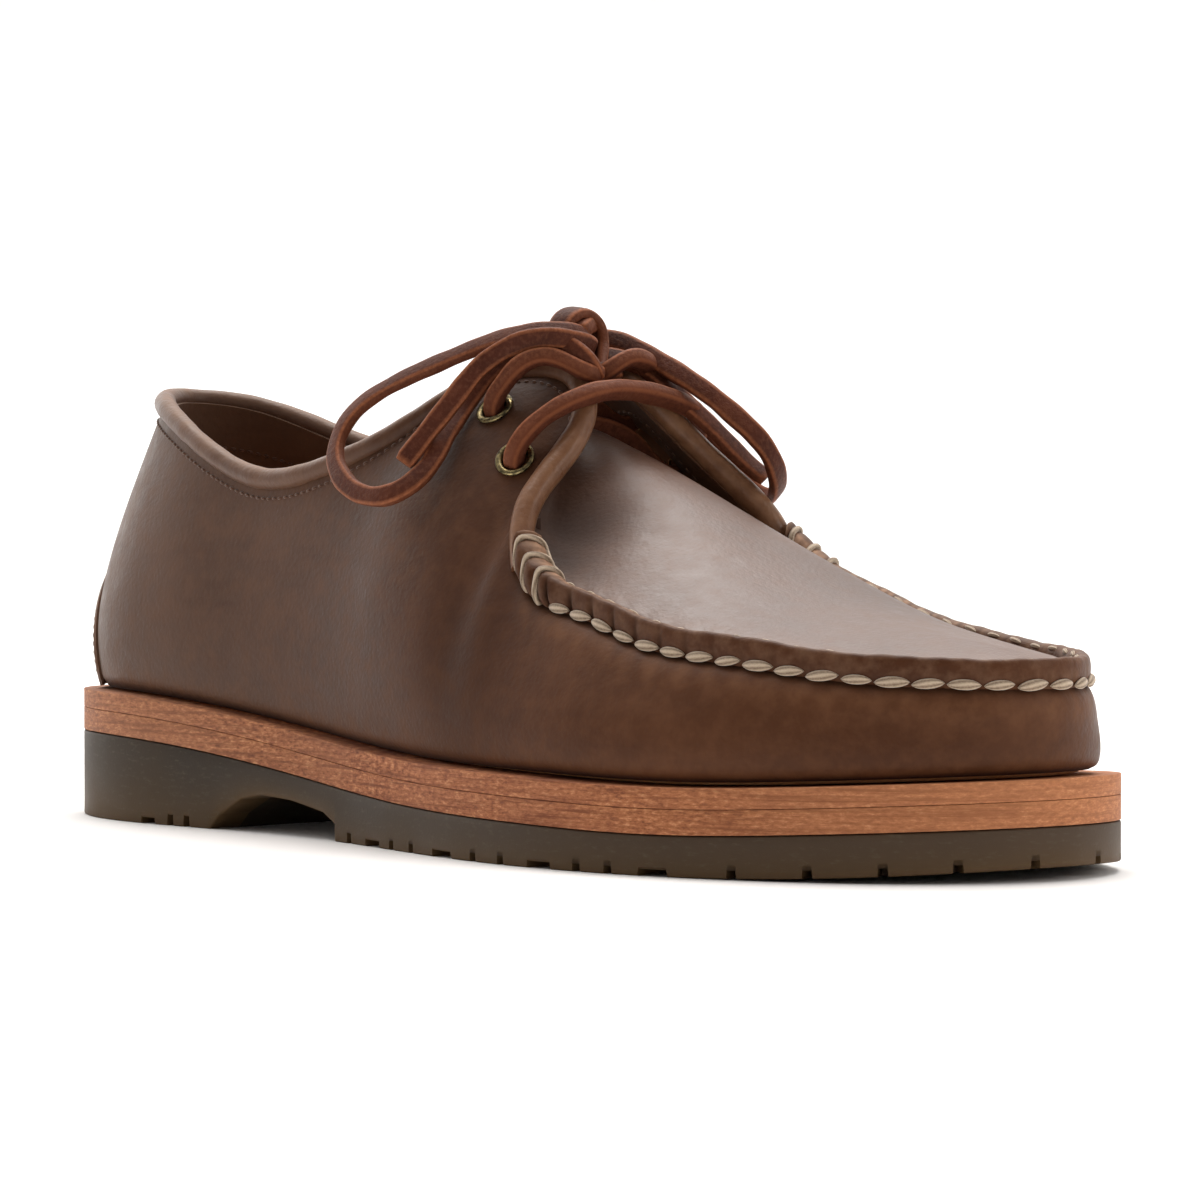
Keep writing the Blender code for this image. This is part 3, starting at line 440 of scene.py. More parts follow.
def quads(rows, columns, closed="", start=0):
    """Corner numbers of the quads of a grid. Its "columns" or "rows" can run on from the last to the first."""
    index = start + np.arange(rows * columns).reshape(rows, columns)
    if "columns" in closed:
        index = np.hstack([index, index[:, :1]])
    if "rows" in closed:
        index = np.vstack([index, index[:1]])
    corners = [index[:-1, :-1], index[:-1, 1:], index[1:, 1:], index[1:, :-1]]
    return np.stack(corners, axis=-1).reshape(-1, 4)


def joined(grids, closed="columns"):
    """Points and quads of several grids as one shape."""
    faces, start = [], 0
    for grid in grids:
        faces.append(quads(*grid.shape[:2], closed, start))
        start += grid.shape[0] * grid.shape[1]
    return np.concatenate([grid.reshape(-1, 3) for grid in grids]), np.concatenate(faces)


def make_mesh(name, points, faces, numbers=None):
    """A mesh from points in metres and quads, with numbers on its points. Faces are turned outwards."""
    mesh = bpy.data.meshes.new(name)
    mesh.vertices.add(len(points))
    mesh.vertices.foreach_set("co", points.astype(np.float32).ravel())
    mesh.loops.add(faces.size)
    mesh.loops.foreach_set("vertex_index", faces.ravel().astype(np.int32))
    mesh.polygons.add(len(faces))
    mesh.polygons.foreach_set("loop_start", np.arange(0, faces.size, 4, dtype=np.int32))
    for key, values in (numbers or {}).items():
        layer = mesh.attributes.new(key, "FLOAT", "POINT")
        layer.data.foreach_set("value", np.concatenate([np.ravel(part) for part in values]).astype(np.float32))
    mesh.update(calc_edges=True)
    mesh.validate()
    tidy = bmesh.new()
    tidy.from_mesh(mesh)
    bmesh.ops.remove_doubles(tidy, verts=tidy.verts, dist=MERGE)
    bmesh.ops.recalc_face_normals(tidy, faces=tidy.faces)
    tidy.to_mesh(mesh)
    tidy.free()
    return mesh


def add_object(name, data):
    """An object of the scene from its data."""
    made = bpy.data.objects.new(name, data)
    bpy.context.scene.collection.objects.link(made)
    return made


def put_piece(name, shape, material, stands_for="upper", numbers=None, crease=50.0):
    """Makes one piece from points in mm and quads, gives it its finish and hides the packed part it stands for."""
    points, faces = shape
    mesh = make_mesh(name, (points - CENTRE) * MM, faces, numbers)
    mesh.materials.append(material)
    mesh.shade_smooth()
    mesh.set_sharp_from_angle(angle=math.radians(crease))
    piece = add_object(name, mesh)
    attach(piece, "root")
    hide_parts(stands_for)
    print(f"{name}: {len(mesh.polygons)} faces")
    return piece


def put_leather(name, grid, material, wear_and_light=0.0, shade=0.0, closed="columns", more_faces=(), **more):
    """A piece from one grid, with its pale tone, for rubbing and for painted light, and its painted shade, given
    for each point, each row or all at once.
    """
    points, faces = joined([grid], closed)
    numbers = {"wear_and_light": np.broadcast_to(wear_and_light, grid.shape[:2]), "shade": np.broadcast_to(shade, grid.shape[:2])}
    return put_piece(name, (points, np.concatenate([faces, *more_faces])), material, numbers=numbers, **more)


def normals_of(grid):
    """Unit normals of a grid: the cross product of its steps along a row and along a column."""
    return unit(np.cross(np.gradient(grid, axis=1), np.gradient(grid, axis=0)))


def even_route(route, spacing):
    """Evenly spaced points on a smooth curve through a few given points."""
    route = np.array(route, float)
    chord = way_along(route)
    fine = spline(chord, route, np.linspace(0, chord[-1], 2400))
    way = way_along(fine)
    wanted = np.linspace(0, way[-1], max(5, round(way[-1] / spacing) + 1))
    return np.column_stack([np.interp(wanted, way, fine[:, a]) for a in range(3)])


def carried_frames(line, start_up):
    """Directions along, up and aside at each point of a line. Each up is the one before, kept upright to the
    new direction, so the frame turns as little as it can."""
    along = unit(np.gradient(line, axis=0))
    ups = [unit(np.array(start_up) - along[0] * np.dot(start_up, along[0]))]
    for direction in along[1:]:
        ups.append(unit(ups[-1] - direction * np.dot(ups[-1], direction)))
    ups = np.array(ups)
    return ups, np.cross(along, ups)


def swept(line, ups, asides, across, over, scale=None):
    """Grid of a profile carried along a line: point plus aside times across plus up times over. Both ends are
    drawn in to their middle points, so nothing is left open."""
    scale = np.ones(len(line)) if scale is None else scale
    wide = asides[:, None] * across[None, :, None] * scale[:, None, None]
    grid = line[:, None] + wide + ups[:, None] * over[None, :, None] * scale[:, None, None]
    return closed_ends(grid)


def closed_ends(grid):
    """The same grid with one more row at each end, all of it at that end's middle point."""
    ends = (np.broadcast_to(end.mean(axis=1, keepdims=True), end.shape) for end in (grid[:1], grid[-1:]))
    return np.concatenate([next(ends), grid, next(ends)])


def round_angles(count):
    """Angles of equal steps, once round."""
    return 2 * math.pi * np.arange(count) / count


# %% [markdown]
# The wall of the upper is one surface. Its foot stands on the stack, a little inside the sole's edge, and its
# top is the free edge of the shoe: the topline, the two flaps and, from corner to corner round the toe, the
# stitch line of the moccasin seam. The table gives that edge and how the leather arrives at it.

# %% Edge of the upper
SOLE_SECTIONS = [
    # along %, stack top, welt margin
    (0, 28.9, 5.3), (13.3, 28.9, 4.2), (26.7, 25.8, 3.6), (40, 21.5, 3.6), (53.3, 19.2, 4.2), (66.7, 18.4, 5),
    (80, 17.9, 5.2), (90, 19, 5.6), (100, 20.5, 6),
]
STACK_TOP, MARGIN = 1, 2  # columns of the table
EDGE = [
    # place, along %, across %, up %, lean, reach, flare
    (0, 6.3, 0, 96.2, 22, 0.4, 20), (3.6, 9.2, -13.5, 95.2, 22, 0.4, 20), (7.2, 14.7, -21.6, 90.5, 21, 0.38, 20),
    (11.6, 21.3, -26, 83, 18, 0.34, 22), (14.9, 28, -27.6, 78.2, 16, 0.32, 25),
    (18.6, 36.7, -27.2, 82.6, 24, 0.3, 26), (21.7, 43.3, -21, 92, 44, 0.34, 28),
    (23.6, 48, -13.7, 100.2, 56, 0.38, 28), (24.9, 52.7, -9.4, 102, 60, 0.4, 28),
    (26.1, 56.2, -9.6, 98, 58, 0.4, 28), (27.2, 58, -15.2, 89, 52, 0.36, 30),
    (28.3, 58.2, -25.2, 78.5, 46, 0.34, 32), (29.3, 58.8, -32, 70, 42, 0.32, 34),
    (30.1, 60.3, -36, 61.5, 42, 0.32, 36), (32.6, 67.3, -39.9, 51.6, 44, 0.32, 40),
    (35.5, 74.3, -40.4, 46, 44, 0.32, 44), (38.8, 82.3, -37.5, 43, 38, 0.32, 46),
    (42, 89.3, -30.3, 40.4, 30, 0.32, 48), (45.2, 94.8, -18.3, 39.2, 22, 0.32, 48),
    (50, 98.6, 2.4, 38.8, 10, 0.32, 48), (54.4, 96, 20.2, 38.9, 12, 0.32, 48),
    (57.7, 90, 32.4, 39.6, 22, 0.32, 48), (60.8, 82.7, 36.4, 41.6, 34, 0.32, 46),
    (64, 75.3, 36.5, 46, 42, 0.32, 44), (66.9, 68.3, 33.7, 53.5, 44, 0.32, 40),
    (69.3, 63.3, 29.8, 62.5, 42, 0.32, 36), (70.5, 62, 26.4, 71, 42, 0.32, 34),
    (71.7, 60, 20.7, 79.5, 46, 0.34, 32), (72.8, 58, 13.5, 89, 52, 0.36, 30),
    (74, 55.8, 8.2, 97.5, 58, 0.4, 28), (75.3, 52.7, 7.7, 101.5, 60, 0.4, 28),
    (76.7, 48, 11.5, 99.5, 56, 0.38, 28), (78.6, 43.3, 18.8, 91, 44, 0.34, 28),
    (81.7, 36.7, 25, 81.5, 24, 0.3, 26), (85, 28.7, 26.4, 77.5, 15, 0.3, 26), (88.4, 21.3, 25, 82.2, 18, 0.34, 22),
    (92.7, 14.7, 21.2, 88.2, 21, 0.38, 20), (96.4, 9.3, 13, 94.2, 22, 0.4, 20),
]
OUTER_CORNER, INNER_CORNER = 30.1, 69.3
FLARE_REACH = 0.26  # how far up the wall keeps its first direction, as a share of its size


def sole_value(along, column):
    """The stack's top or the margin of the welt, at distances along the sole."""
    table = np.array(SOLE_SECTIONS)
    return spline(table[:, 0] * LENGTH / 100, table[:, column], np.clip(along, 0, LENGTH))[..., 0]


def edge_at(place):
    """Free edge or stitch line at places round the shoe, with lean, reach and flare."""
    table = np.array(EDGE)
    scale = [LENGTH / 100, BALL_WIDTH / 100, INSTEP_HEIGHT / 100, math.pi / 180, 1.0, math.pi / 180]
    row = spline(table[:, 0], table[:, 1:] * scale, place, 100)
    return row[..., :3], row[..., 3:4], row[..., 4:5], row[..., 5:6]


def edge_point(place):
    """Only the point of the edge."""
    return edge_at(place)[0]


def edge_out(place):
    """The edge's point and the level direction outwards, which is the edge's run turned by 90 degrees."""
    nudge = 0.2
    run = edge_point(place + nudge) - edge_point(place - nudge)
    return edge_point(place), unit(np.stack([run[..., 1], -run[..., 0], np.zeros(len(place))], axis=-1))


def wall_at(place, rise):
    """Outer face of the wall: a cubic Bezier from the stack (rise 0) to the free edge (rise 1) at each place.
    It starts outwards by the flare and arrives tipped inwards by the lean, so it bulges over the welt."""
    place = np.asarray(place, float)
    rough = outline_at(place)[0]
    foot_xy, outward = outline_at(place, sole_value(rough[..., 0], MARGIN))
    foot = np.concatenate([foot_xy, sole_value(foot_xy[..., 0], STACK_TOP)[..., None] + GAP], axis=-1)
    out = np.concatenate([outward, np.zeros(place.shape)[..., None]], axis=-1)
    edge, lean, reach, flare = edge_at(place)
    run = np.stack([-out[..., 1], out[..., 0], out[..., 2]], axis=-1)
    whole = edge - foot
    aside = run * (whole * run).sum(-1, keepdims=True)
    size = np.linalg.norm(whole - aside, axis=-1, keepdims=True)
    first = foot + aside / 3 + FLARE_REACH * size * (out * np.sin(flare) + UP * np.cos(flare))
    second = edge - aside / 3 + reach * size * (out * np.sin(lean) - UP * np.cos(lean))
    t = np.asarray(rise, float)[..., None]
    return (1 - t) ** 3 * foot + 3 * t * (1 - t) ** 2 * first + 3 * t**2 * (1 - t) * second + t**3 * edge


def wall_frame(place, rise):
    """A point of the outer wall with the outward normal there and a direction along the shoe."""
    nudge = 0.01
    spots = wall_at(place + nudge * np.array([0, 1, -1, 0, 0]), rise + nudge * np.array([0, 0, 0, 1, -1]))
    normal = unit(np.cross(spots[1] - spots[2], spots[3] - spots[4]))
    normal *= np.sign(normal @ (spots[0] - np.array([LENGTH / 2, 0.0, INSTEP_HEIGHT / 2])))
    return spots[0], normal, unit(np.cross(normal, UP))


def wall_height(places, rise=0.0):
    """How far the wall's points at a rise lie from its free edge, in mm."""
    return np.linalg.norm(edge_point(places) - wall_at(places, np.full(len(places), rise)), axis=-1)


print(f"wall between {wall_height(np.array([14.9]))[0]:.0f} and {wall_height(np.array([0.0]))[0]:.0f} mm high")

# %% [markdown]
# The lace is one thong: knot, arc over the outer flap, in through the upper eyelet, across, out through the
# lower one, over as the bar, and back the same way. A thong keeps its section while it bends, so a rounded,
# slightly flat profile is carried along the line with as little turning as possible.

# %% Thongs
LACE_WIDTH, LACE_THICK, LACE_STEP = 4.5, 2.5, 1.4
ROLL_RADIUS = 2.4
EYELETS = {
    # name: place, rise
    "eyelet_lateral_upper": (24.7, 0.864),
    "eyelet_lateral_lower": (26.25, 0.788),
    "eyelet_medial_upper": (75.3, 0.864),
    "eyelet_medial_lower": (73.6, 0.788),
}
turn = round_angles(20)
THONG_ACROSS = np.sign(np.cos(turn)) * np.abs(np.cos(turn)) ** 0.5
THONG_OVER = np.sign(np.sin(turn)) * np.abs(np.sin(turn)) ** 0.6


def thong_grid(line, start_up, width=LACE_WIDTH, thick=LACE_THICK, twist=0.0, face=None):
    """Rounded flat profile carried along a line and turned by twist degrees along it. If a face direction is
    given, the flat side looks that way halfway along. Returns the grid and its numbers."""
    ups, asides = carried_frames(line, start_up)
    angle = np.radians(twist) * np.linspace(0, 1, len(line))[:, None]
    if face is not None:
        half = len(line) // 2
        angle = angle - angle[half] + math.atan2(np.dot(face, asides[half]), np.dot(face, ups[half]))
    ups, asides = ups * np.cos(angle) + asides * np.sin(angle), asides * np.cos(angle) - ups * np.sin(angle)
    way = way_along(line)
    scale = 1 + 0.035 * np.sin(way / 3.1) + 0.025 * np.sin(way / 1.3 + 1.0)
    scale[[0, -1]] *= 0.86
    grid = swept(line, ups, asides, THONG_ACROSS * width / 2, THONG_OVER * thick / 2, scale)
    # pale rims: the raw leather of the cut, and a painted highlight along the corners of the profile
    corner = smooth((np.abs(THONG_ACROSS) - 0.6) / 0.25) * smooth((np.abs(THONG_OVER) - 0.45) / 0.3)
    cut = smooth((np.abs(THONG_ACROSS) - 0.86) / 0.12)
    edge = np.broadcast_to(np.maximum(0.25 * cut, corner), grid.shape[:2]).copy()
    edge[:2] = edge[-2:] = 1.0
    return grid, edge, np.broadcast_to(smooth((-THONG_OVER - 0.1) / 0.5), grid.shape[:2])


def put_thongs(name, thongs):
    """One piece from one or more thong grids. It dresses the part of the same name."""
    grids, edges, fuzzes = zip(*thongs)
    numbers = {"edge": edges, "fuzz": fuzzes}
    return put_piece(name + "_dressed", joined(grids), LACE_LEATHER, name, numbers, CORD_CREASE)


# %% [markdown]
# Two loops and two ends leave the knot. Each route is given every centimetre or so: out of the knot, over the
# collar and down the flap under its own weight. Every one starts inside the knot's hoop, and a loop ends there
# too. The photo shows both loops and both ends whole, so these are their lengths.

# %% The bow's loops and ends
LACE_ROUTES = {
    # name: rows of along, across, up
    "lace_loop_lateral": [
        (160.6, -2.2, 108.6), (164.3, -5.6, 109.3), (163.8, -10.4, 110.3), (159.1, -14, 110.4),
        (153.8, -16, 109.5), (148.4, -18, 108.2), (138.9, -23, 104.3), (127.5, -30, 98.4),
        (121.5, -35.5, 92), (121.5, -39.5, 85), (127, -42.5, 79.3), (136.5, -44, 75.4), (145.5, -42.5, 76),
        (149, -37, 81), (147.8, -30.5, 88.5), (146.9, -24.5, 94.5), (148.9, -21, 100), (152.5, -17.5, 104.7),
        (155.9, -14.5, 106.6), (159, -11.4, 107.3), (162.5, -8.6, 107), (165.1, -6, 106),
    ],
    "lace_loop_medial": [
        (151.5, 5.6, 109.3), (155.4, 8, 108.9), (161, 9.4, 107.8), (168, 10.6, 104.9), (175.1, 12.2, 101.3),
        (182, 14.5, 97), (187.8, 18, 91.5), (191.3, 22.3, 85.7), (190.4, 26.6, 80.4), (186.3, 30.6, 76.4),
        (179.3, 34, 74.5), (171, 35.5, 77.4), (165, 33.5, 83.3), (162.6, 28.5, 89), (161.6, 22.5, 94.6),
        (160, 17, 100.1), (158, 11.4, 103.6), (156, 6.6, 105.4), (154, 3, 106),
    ],
    "lace_end_lateral": [
        (160.6, -1.2, 106.6), (164.4, -4, 107), (167, -8.2, 107.9), (166.6, -13, 108.8), (163.1, -17.5, 108.9),
        (156.4, -21.5, 106.4), (152.8, -25, 102.9), (150.5, -29.5, 97), (148, -34.8, 89.8), (145, -40, 82.2),
    ],
    "lace_end_medial": [
        (158.5, -2, 105.6), (161, 1.5, 105.2), (164, 6, 104.3), (167.3, 9.6, 102.4), (171, 11.2, 99.6),
        (175, 12.8, 96), (177.3, 16.8, 92), (180.4, 20.8, 87), (183.1, 24.4, 82.4), (186.3, 27.3, 78.7),
    ],
}
LACE_LOOKS = {
    # name: where the flat side looks halfway along, twist in degrees, what the far end is
    "lace_loop_lateral": ((0.35, -0.93, 0.0), 30.0, "object"),
    "lace_loop_medial": ((0.75, 0.4, -0.5), -50.0, "object"),
    "lace_end_lateral": ((0.72, -0.69, 0.1), 25.0, "bare"),
    "lace_end_medial": ((0.6, -0.3, 0.7), -20.0, "bare"),
}
for name, route in LACE_ROUTES.items():
    line = even_route(route, LACE_STEP)
    face, twist, far_end = LACE_LOOKS[name]
    free_lace = put_thongs(name, [thong_grid(line, UP, twist=twist, face=face)])

# %% [markdown]
# The knot is the same thong again: a hoop over the top of it, two strands that cross under the hoop from loop
# to loop, and two short tucks where the lace comes up from the eyelets. Real strands make the small dark gaps
# that a solid ball can't.

# %% Knot
KNOT_STRANDS = [
    # first up direction, width, thickness, twist, route
    ((0.0, -1.0, 0.1), 6.4, 2.6, 0.0, [
        (159.6, -7.8, 105.6), (159.6, -8.8, 109.2), (159.8, -7.5, 112.7), (160, -3.9, 114.5), (160, -0.1, 113.2),
        (160.3, 1.8, 110), (161.2, 1.4, 106.6), (163.4, -0.8, 103.6), (166, -3.4, 100.8),
    ]),
    ((0.5, -0.6, 0.5), 4.6, 2.2, 40.0, [
        (162.5, -14, 107.4), (165.5, -13, 107.6), (168.6, -11.6, 105.9), (170.6, -9.9, 103.4),
        (170.4, -7.5, 100.4),
    ]),
    ((0.0, 0.0, 1.0), 5.6, 3.8, 0.0, [
        (150.5, 5.4, 108.6), (154.5, 4.4, 110), (158.5, 0.6, 111.2), (161.4, -3.4, 111.4), (162.6, -6.4, 110),
    ]),
    ((0.0, 0.0, 1.0), 5.4, 3.6, 0.0, [
        (155, 4, 105), (158.5, 0, 106.4), (161.5, -3.6, 106.6), (164.5, -6.5, 105.4),
    ]),
    ((0.5, -0.4, 0.8), 4.8, 3.8, 0.0, [
        (161, -7.5, 102.6), (164, -5.2, 102.4), (166.6, -2.6, 101.8), (165.4, 1, 101.4), (162, 4.6, 101.6),
    ]),
]
put_thongs("lace_knot", [thong_grid(even_route(route, 0.8), *how) for *how, route in KNOT_STRANDS])


# %% The run through the eyelets
def over_eyelet(name, height, ahead=0.0, higher=0.0):
    """A point above or below an eyelet, along the flap's normal."""
    place, rise = EYELETS["eyelet_" + name]
    point, normal, _ = wall_frame(place + ahead, rise + higher)
    return point + normal * height


def past_edge(place):
    """A point over the binding of a flap."""
    return edge_point(np.array([place]))[0] + wall_frame(place, 0.995)[1] * OVER_ROLL


OVER_ROLL, THROUGH, UNDER = ROLL_RADIUS + 1.6 + GAP + 0.7, 1.0, -4.4
lace_route = [
    (166, -3, 102.4), (169.6, -7.4, 101.2), (170.6, -10.6, 101.6), (168, -13.6, 103.6), (164.2, -16.8, 105),
    (161.1, -20, 103.6), (157.6, -22.2, 99.6), over_eyelet("lateral_upper", THROUGH),
    over_eyelet("lateral_upper", UNDER - 0.2), (153, -11, 90.6), (157, 0, 90.4), (161.5, 11, 86.6),
    over_eyelet("medial_lower", UNDER), over_eyelet("medial_lower", THROUGH),
    over_eyelet("medial_lower", 4.6, -0.1, 0.07), past_edge(72.9), (175, 0, 97.6), past_edge(26.75),
    over_eyelet("lateral_lower", 4.6, 0.1, 0.07), over_eyelet("lateral_lower", THROUGH),
    over_eyelet("lateral_lower", UNDER), (161.5, -12, 90), (157.5, 0, 94.2), (154, 9, 92.5),
    over_eyelet("medial_upper", UNDER - 0.2), over_eyelet("medial_upper", THROUGH), (159, 17.2, 98.4),
    (162.4, 14.2, 101), (167.3, 10.2, 103), (170.6, 5.6, 104.2), (171.2, 1.2, 104.6), (170.2, -2.5, 102.7),
    (168.2, -5, 100.6),
]
lace_line = even_route(lace_route, 1.2)
put_thongs("lace_bars", [thong_grid(lace_line, (0.3, -0.3, 0.9), width=4.3, thick=3.7)])
print(f"lace through the eyelets: {len(lace_line)} points")

# %% [markdown]
# The sole is three layers: rubber, and two layers of leather whose seam shows as a thin line. The footbed
# inside is a fourth. Each layer is a ring of columns round the outline. A short profile goes up each column:
# flat underside, a small rounded corner, the side, a rounded corner and the top. Columns on the two sides are
# paired at the same distance from the heel, so the flat parts close across the middle without a hole.

# %% Sole layers
WELT_THICKNESS, MIDSOLE_THICKNESS, INSOLE_THICKNESS = 4.1, 4.9, 4.0
LAP, FLAT_IN = 0.1, 13.0  # how far the leathers reach into a gap; how far in the flat faces' own columns go
TOE_SPRING, TOE_SPRING_FROM, FOREFOOT_START = 2.9, 235.0, 122.0
ARCH = [(73.4, 0), (77.2, 3.5), (84.8, 7.2), (92.1, 8.4), (102.7, 7.9), (116.4, 6), (121.9, 3.7)]
NOTCHES = [
    # along, width, height
    (0.3, 2, 2.4), (3.6, 2, 2.4), (51.6, 5, 1.4), (59.7, 2, 2.4), (65.5, 2, 2.4), (128.5, 2, 2.2),
    (139.5, 6.8, 1.4), (148.6, 2, 2.2), (158, 2, 2.2), (171.4, 8, 1.4), (184, 2, 2.2), (194, 2, 2.2),
    (206.5, 7, 1.4), (217.6, 2, 2.2), (226, 2, 2.2), (237, 7, 1.4), (254.5, 2, 2.2), (269, 2, 2.2),
    (281.6, 2, 2.2), (291.8, 2, 2.2), (298.8, 2, 2.2),
]
NOTCH_DEPTH, NOTCH_SLOPE = 8.5, 0.1
fine_places = np.linspace(-2, 98, 8001)
fine_along = outline_at(fine_places)[0][:, 0]
HEEL_PLACE = fine_places[:800][np.argmin(fine_along[:800])]
TOE_PLACE = fine_places[np.argmax(fine_along)]


def tread(along):
    """Height of the underside: heel and forefoot on the floor, the arch and the toe spring above it."""
    arch = np.array(ARCH)
    spring = TOE_SPRING * (np.clip(along - TOE_SPRING_FROM, 0, None) / (LENGTH - TOE_SPRING_FROM)) ** 2
    return np.where(along < FOREFOOT_START, np.interp(along, arch[:, 0], arch[:, 1]), spring)


def below_top(depth):
    """The height that is depth below the top of the stack, at distances along the sole."""
    return lambda along: sole_value(along, STACK_TOP) - depth


def paired_places(stops=()):
    """Places of the outer and the inner side at one list of distances from the heel, closest at the ends."""
    sides = [np.linspace(HEEL_PLACE, TOE_PLACE, 3001), np.linspace(HEEL_PLACE + 100, TOE_PLACE, 3001)]
    reach = [outline_at(side)[0][:, 0] for side in sides]
    low, high = reach[0][0], reach[0][-1]
    even = low + (high - low) * (1 - np.cos(np.linspace(0, math.pi, 361))) / 2
    along = np.unique(np.clip(np.append(even, stops), low, high))
    return [np.interp(along, np.maximum.accumulate(x), side) for x, side in zip(reach, sides)]


def notches():
    """For each notch on each side: that side's ways and points, the way to the notch's middle, width, height."""
    half = len(RING_WAY) // 2
    for side in (slice(0, half + 1), slice(half, 2 * half + 1)):
        ways, reach = RING_WAY[side], RING_EDGE[side, 0]
        for along, width, tall in NOTCHES:
            yield ways, reach, ways[np.argmin(np.abs(reach - along))], width, tall


def notch_height(place):
    """How far the lower edge is cut up at a place: steep-sided steps of the table's width and height."""
    way = np.interp(place % 100, np.linspace(0, 100, len(RING_WAY)), RING_WAY)
    height = np.zeros_like(way)
    for _, _, middle, width, tall in notches():
        step = (width / 2 + NOTCH_SLOPE - np.abs(way - middle)) / (2 * NOTCH_SLOPE)
        height = np.maximum(height, tall * np.clip(step, 0, 1))
    return height


def notch_stops():
    """Distances from the heel where a notch starts or ends, on either side."""
    stops = []
    for ways, reach, middle, width, _ in notches():
        from_middle = [sign * width / 2 + shift for sign in (-1, 1) for shift in (-NOTCH_SLOPE, NOTCH_SLOPE)]
        stops += list(np.interp(middle + np.array(from_middle), ways, reach))
    return stops


def sole_layer(name, low, high, material, inset=None, stops=(), notched=False, soften=0.5, levels=()):
    """A closed layer between the heights low(x) and high(x): a profile carried along paired columns."""
    profile = [
        # inwards, share of the height, shift up
        (FLAT_IN, 0, 0), (NOTCH_DEPTH + 0.1, 0, 0), (NOTCH_DEPTH, 0, 0), (soften, 0, 0),
        (0.3 * soften, 0, 0.3 * soften), (0, 0, soften), *((0, level, 0) for level in levels),
        (0, 1, -soften), (0.3 * soften, 1, -0.3 * soften), (soften, 1, 0), (FLAT_IN, 1, 0),
    ]
    halves = []
    for places in paired_places(stops):
        margin = inset(outline_at(places)[0][:, 0]) if inset else 0.0
        cut = notch_height(places) if notched else 0.0
        rows = []
        for row, (inward, share, shift) in enumerate(profile):
            flat = outline_at(places, margin + inward)[0]
            bottom, top = low(flat[:, 0]) + (cut if 2 <= row <= 5 else 0.0), high(flat[:, 0])
            rows.append(np.column_stack([flat, bottom + (top - bottom) * share + shift]))
        halves.append(np.stack(rows))
    outer, inner = halves
    ring = np.concatenate([(outer[:1] + inner[:1]) / 2, outer, (outer[-1:] + inner[-1:]) / 2, inner[::-1]])
    lows = [(1 - share) * (1 if row > 1 else 0.3) for row, (_, share, _) in enumerate(profile)]
    low_number = 0.8 * np.array([0, *lows, 0, *lows[::-1]]) ** 2
    numbers = {"low": np.repeat(low_number[:, None], ring.shape[1], axis=1)}
    put_piece(name + "_dressed", joined([ring], "rows"), material, name, numbers)


midsole_top = WELT_THICKNESS + GAP
midsole_foot = midsole_top + MIDSOLE_THICKNESS
sole_layer("welt", below_top(WELT_THICKNESS + LAP), below_top(0), STACK_LEATHER, soften=0.14)
sole_layer("midsole", below_top(midsole_foot + LAP), below_top(midsole_top - LAP), STACK_LEATHER, soften=0.08)
stops = [*np.array(ARCH)[:, 0], FOREFOOT_START, *notch_stops()]
sole_layer(
    "outsole", tread, below_top(midsole_foot + GAP), RUBBER, stops=stops, notched=True, soften=0.45,
    levels=(0.2, 0.4, 0.6, 0.8),
)
sole_layer(
    "insole", below_top(-GAP), below_top(-GAP - INSOLE_THICKNESS), LINING_LEATHER,
    inset=lambda along: sole_value(along, MARGIN) + WALL + 2 * GAP, soften=0.8,
)

# %% [markdown]
# The wall is cut as a fine grid, about a millimetre from point to point, so that soft dents can be pressed
# into it by moving points along their normals. The large form comes from the last. On top of it go a groove
# along the stitch line, puckers below each stitch, the edge of the heel stiffener, and the shallow flex folds.
# Each is a soft trough or ridge with a place, a length and a width.

# %% Quarters and vamp
SEAM_PLACES = np.linspace(OUTER_CORNER, INNER_CORNER, 1401)
SEAM_WAY = way_along(edge_point(SEAM_PLACES))
SEAM_LENGTH = SEAM_WAY[-1]
ROLL_SEAM = 16.0
STITCH_COUNT = round((SEAM_LENGTH - 2 * ROLL_SEAM) / 7.1)
STITCH_PITCH = (SEAM_LENGTH - 2 * ROLL_SEAM) / STITCH_COUNT
WALL_PLACES, WALL_RISES, SKIN = 820, 66, 1.5
GROOVE_DEPTH, SWELL_HEIGHT, FOOT_DEPTH, FOOT_WIDTH = 0.75, 0.35, 0.9, 1.6
FOLDS = [
    # along, across, up; direction of the fold; half length, half width, depth (minus is a trough)
    ((205, -53, 40), (0.9, -0.1, -0.4), 34, 16, -0.15),
    ((46, -37, 58), (0.05, -0.1, -1.0), 34, 10, -0.25),
    ((60, -38, 52), (0.15, -0.1, -1.0), 30, 12, 0.15),
    ((118, -40, 50), (0.5, -0.2, -0.8), 24, 15, -0.08),
    ((232, -54, 30), (0.95, 0.1, -0.2), 30, 8, 0.3),
    ((201, 44, 42), (0.8, 0.2, -0.55), 30, 14, -0.8),
    ((176, 40, 44), (0.5, 0.3, -0.8), 22, 16, 0.2),
    ((152, 34, 58), (0.25, 0.4, -0.9), 24, 12, -0.35),
    ((115, 30, 50), (0.6, 0.2, -0.7), 26, 12, -0.5),
    ((46, 35, 58), (0.05, 0.1, -1.0), 34, 8, -0.45),
]
# a patch of painted shade below the outer flap, rougher too, dimming a highlight: its middle, its shape and its
# size
FLAP_SHADE_SPOT, FLAP_SHADE_SHAPE, FLAP_SHADE_SIZE = np.array([174.0, -50.0, 38.0]), (1.0, 1.0, 1.35), 18.0


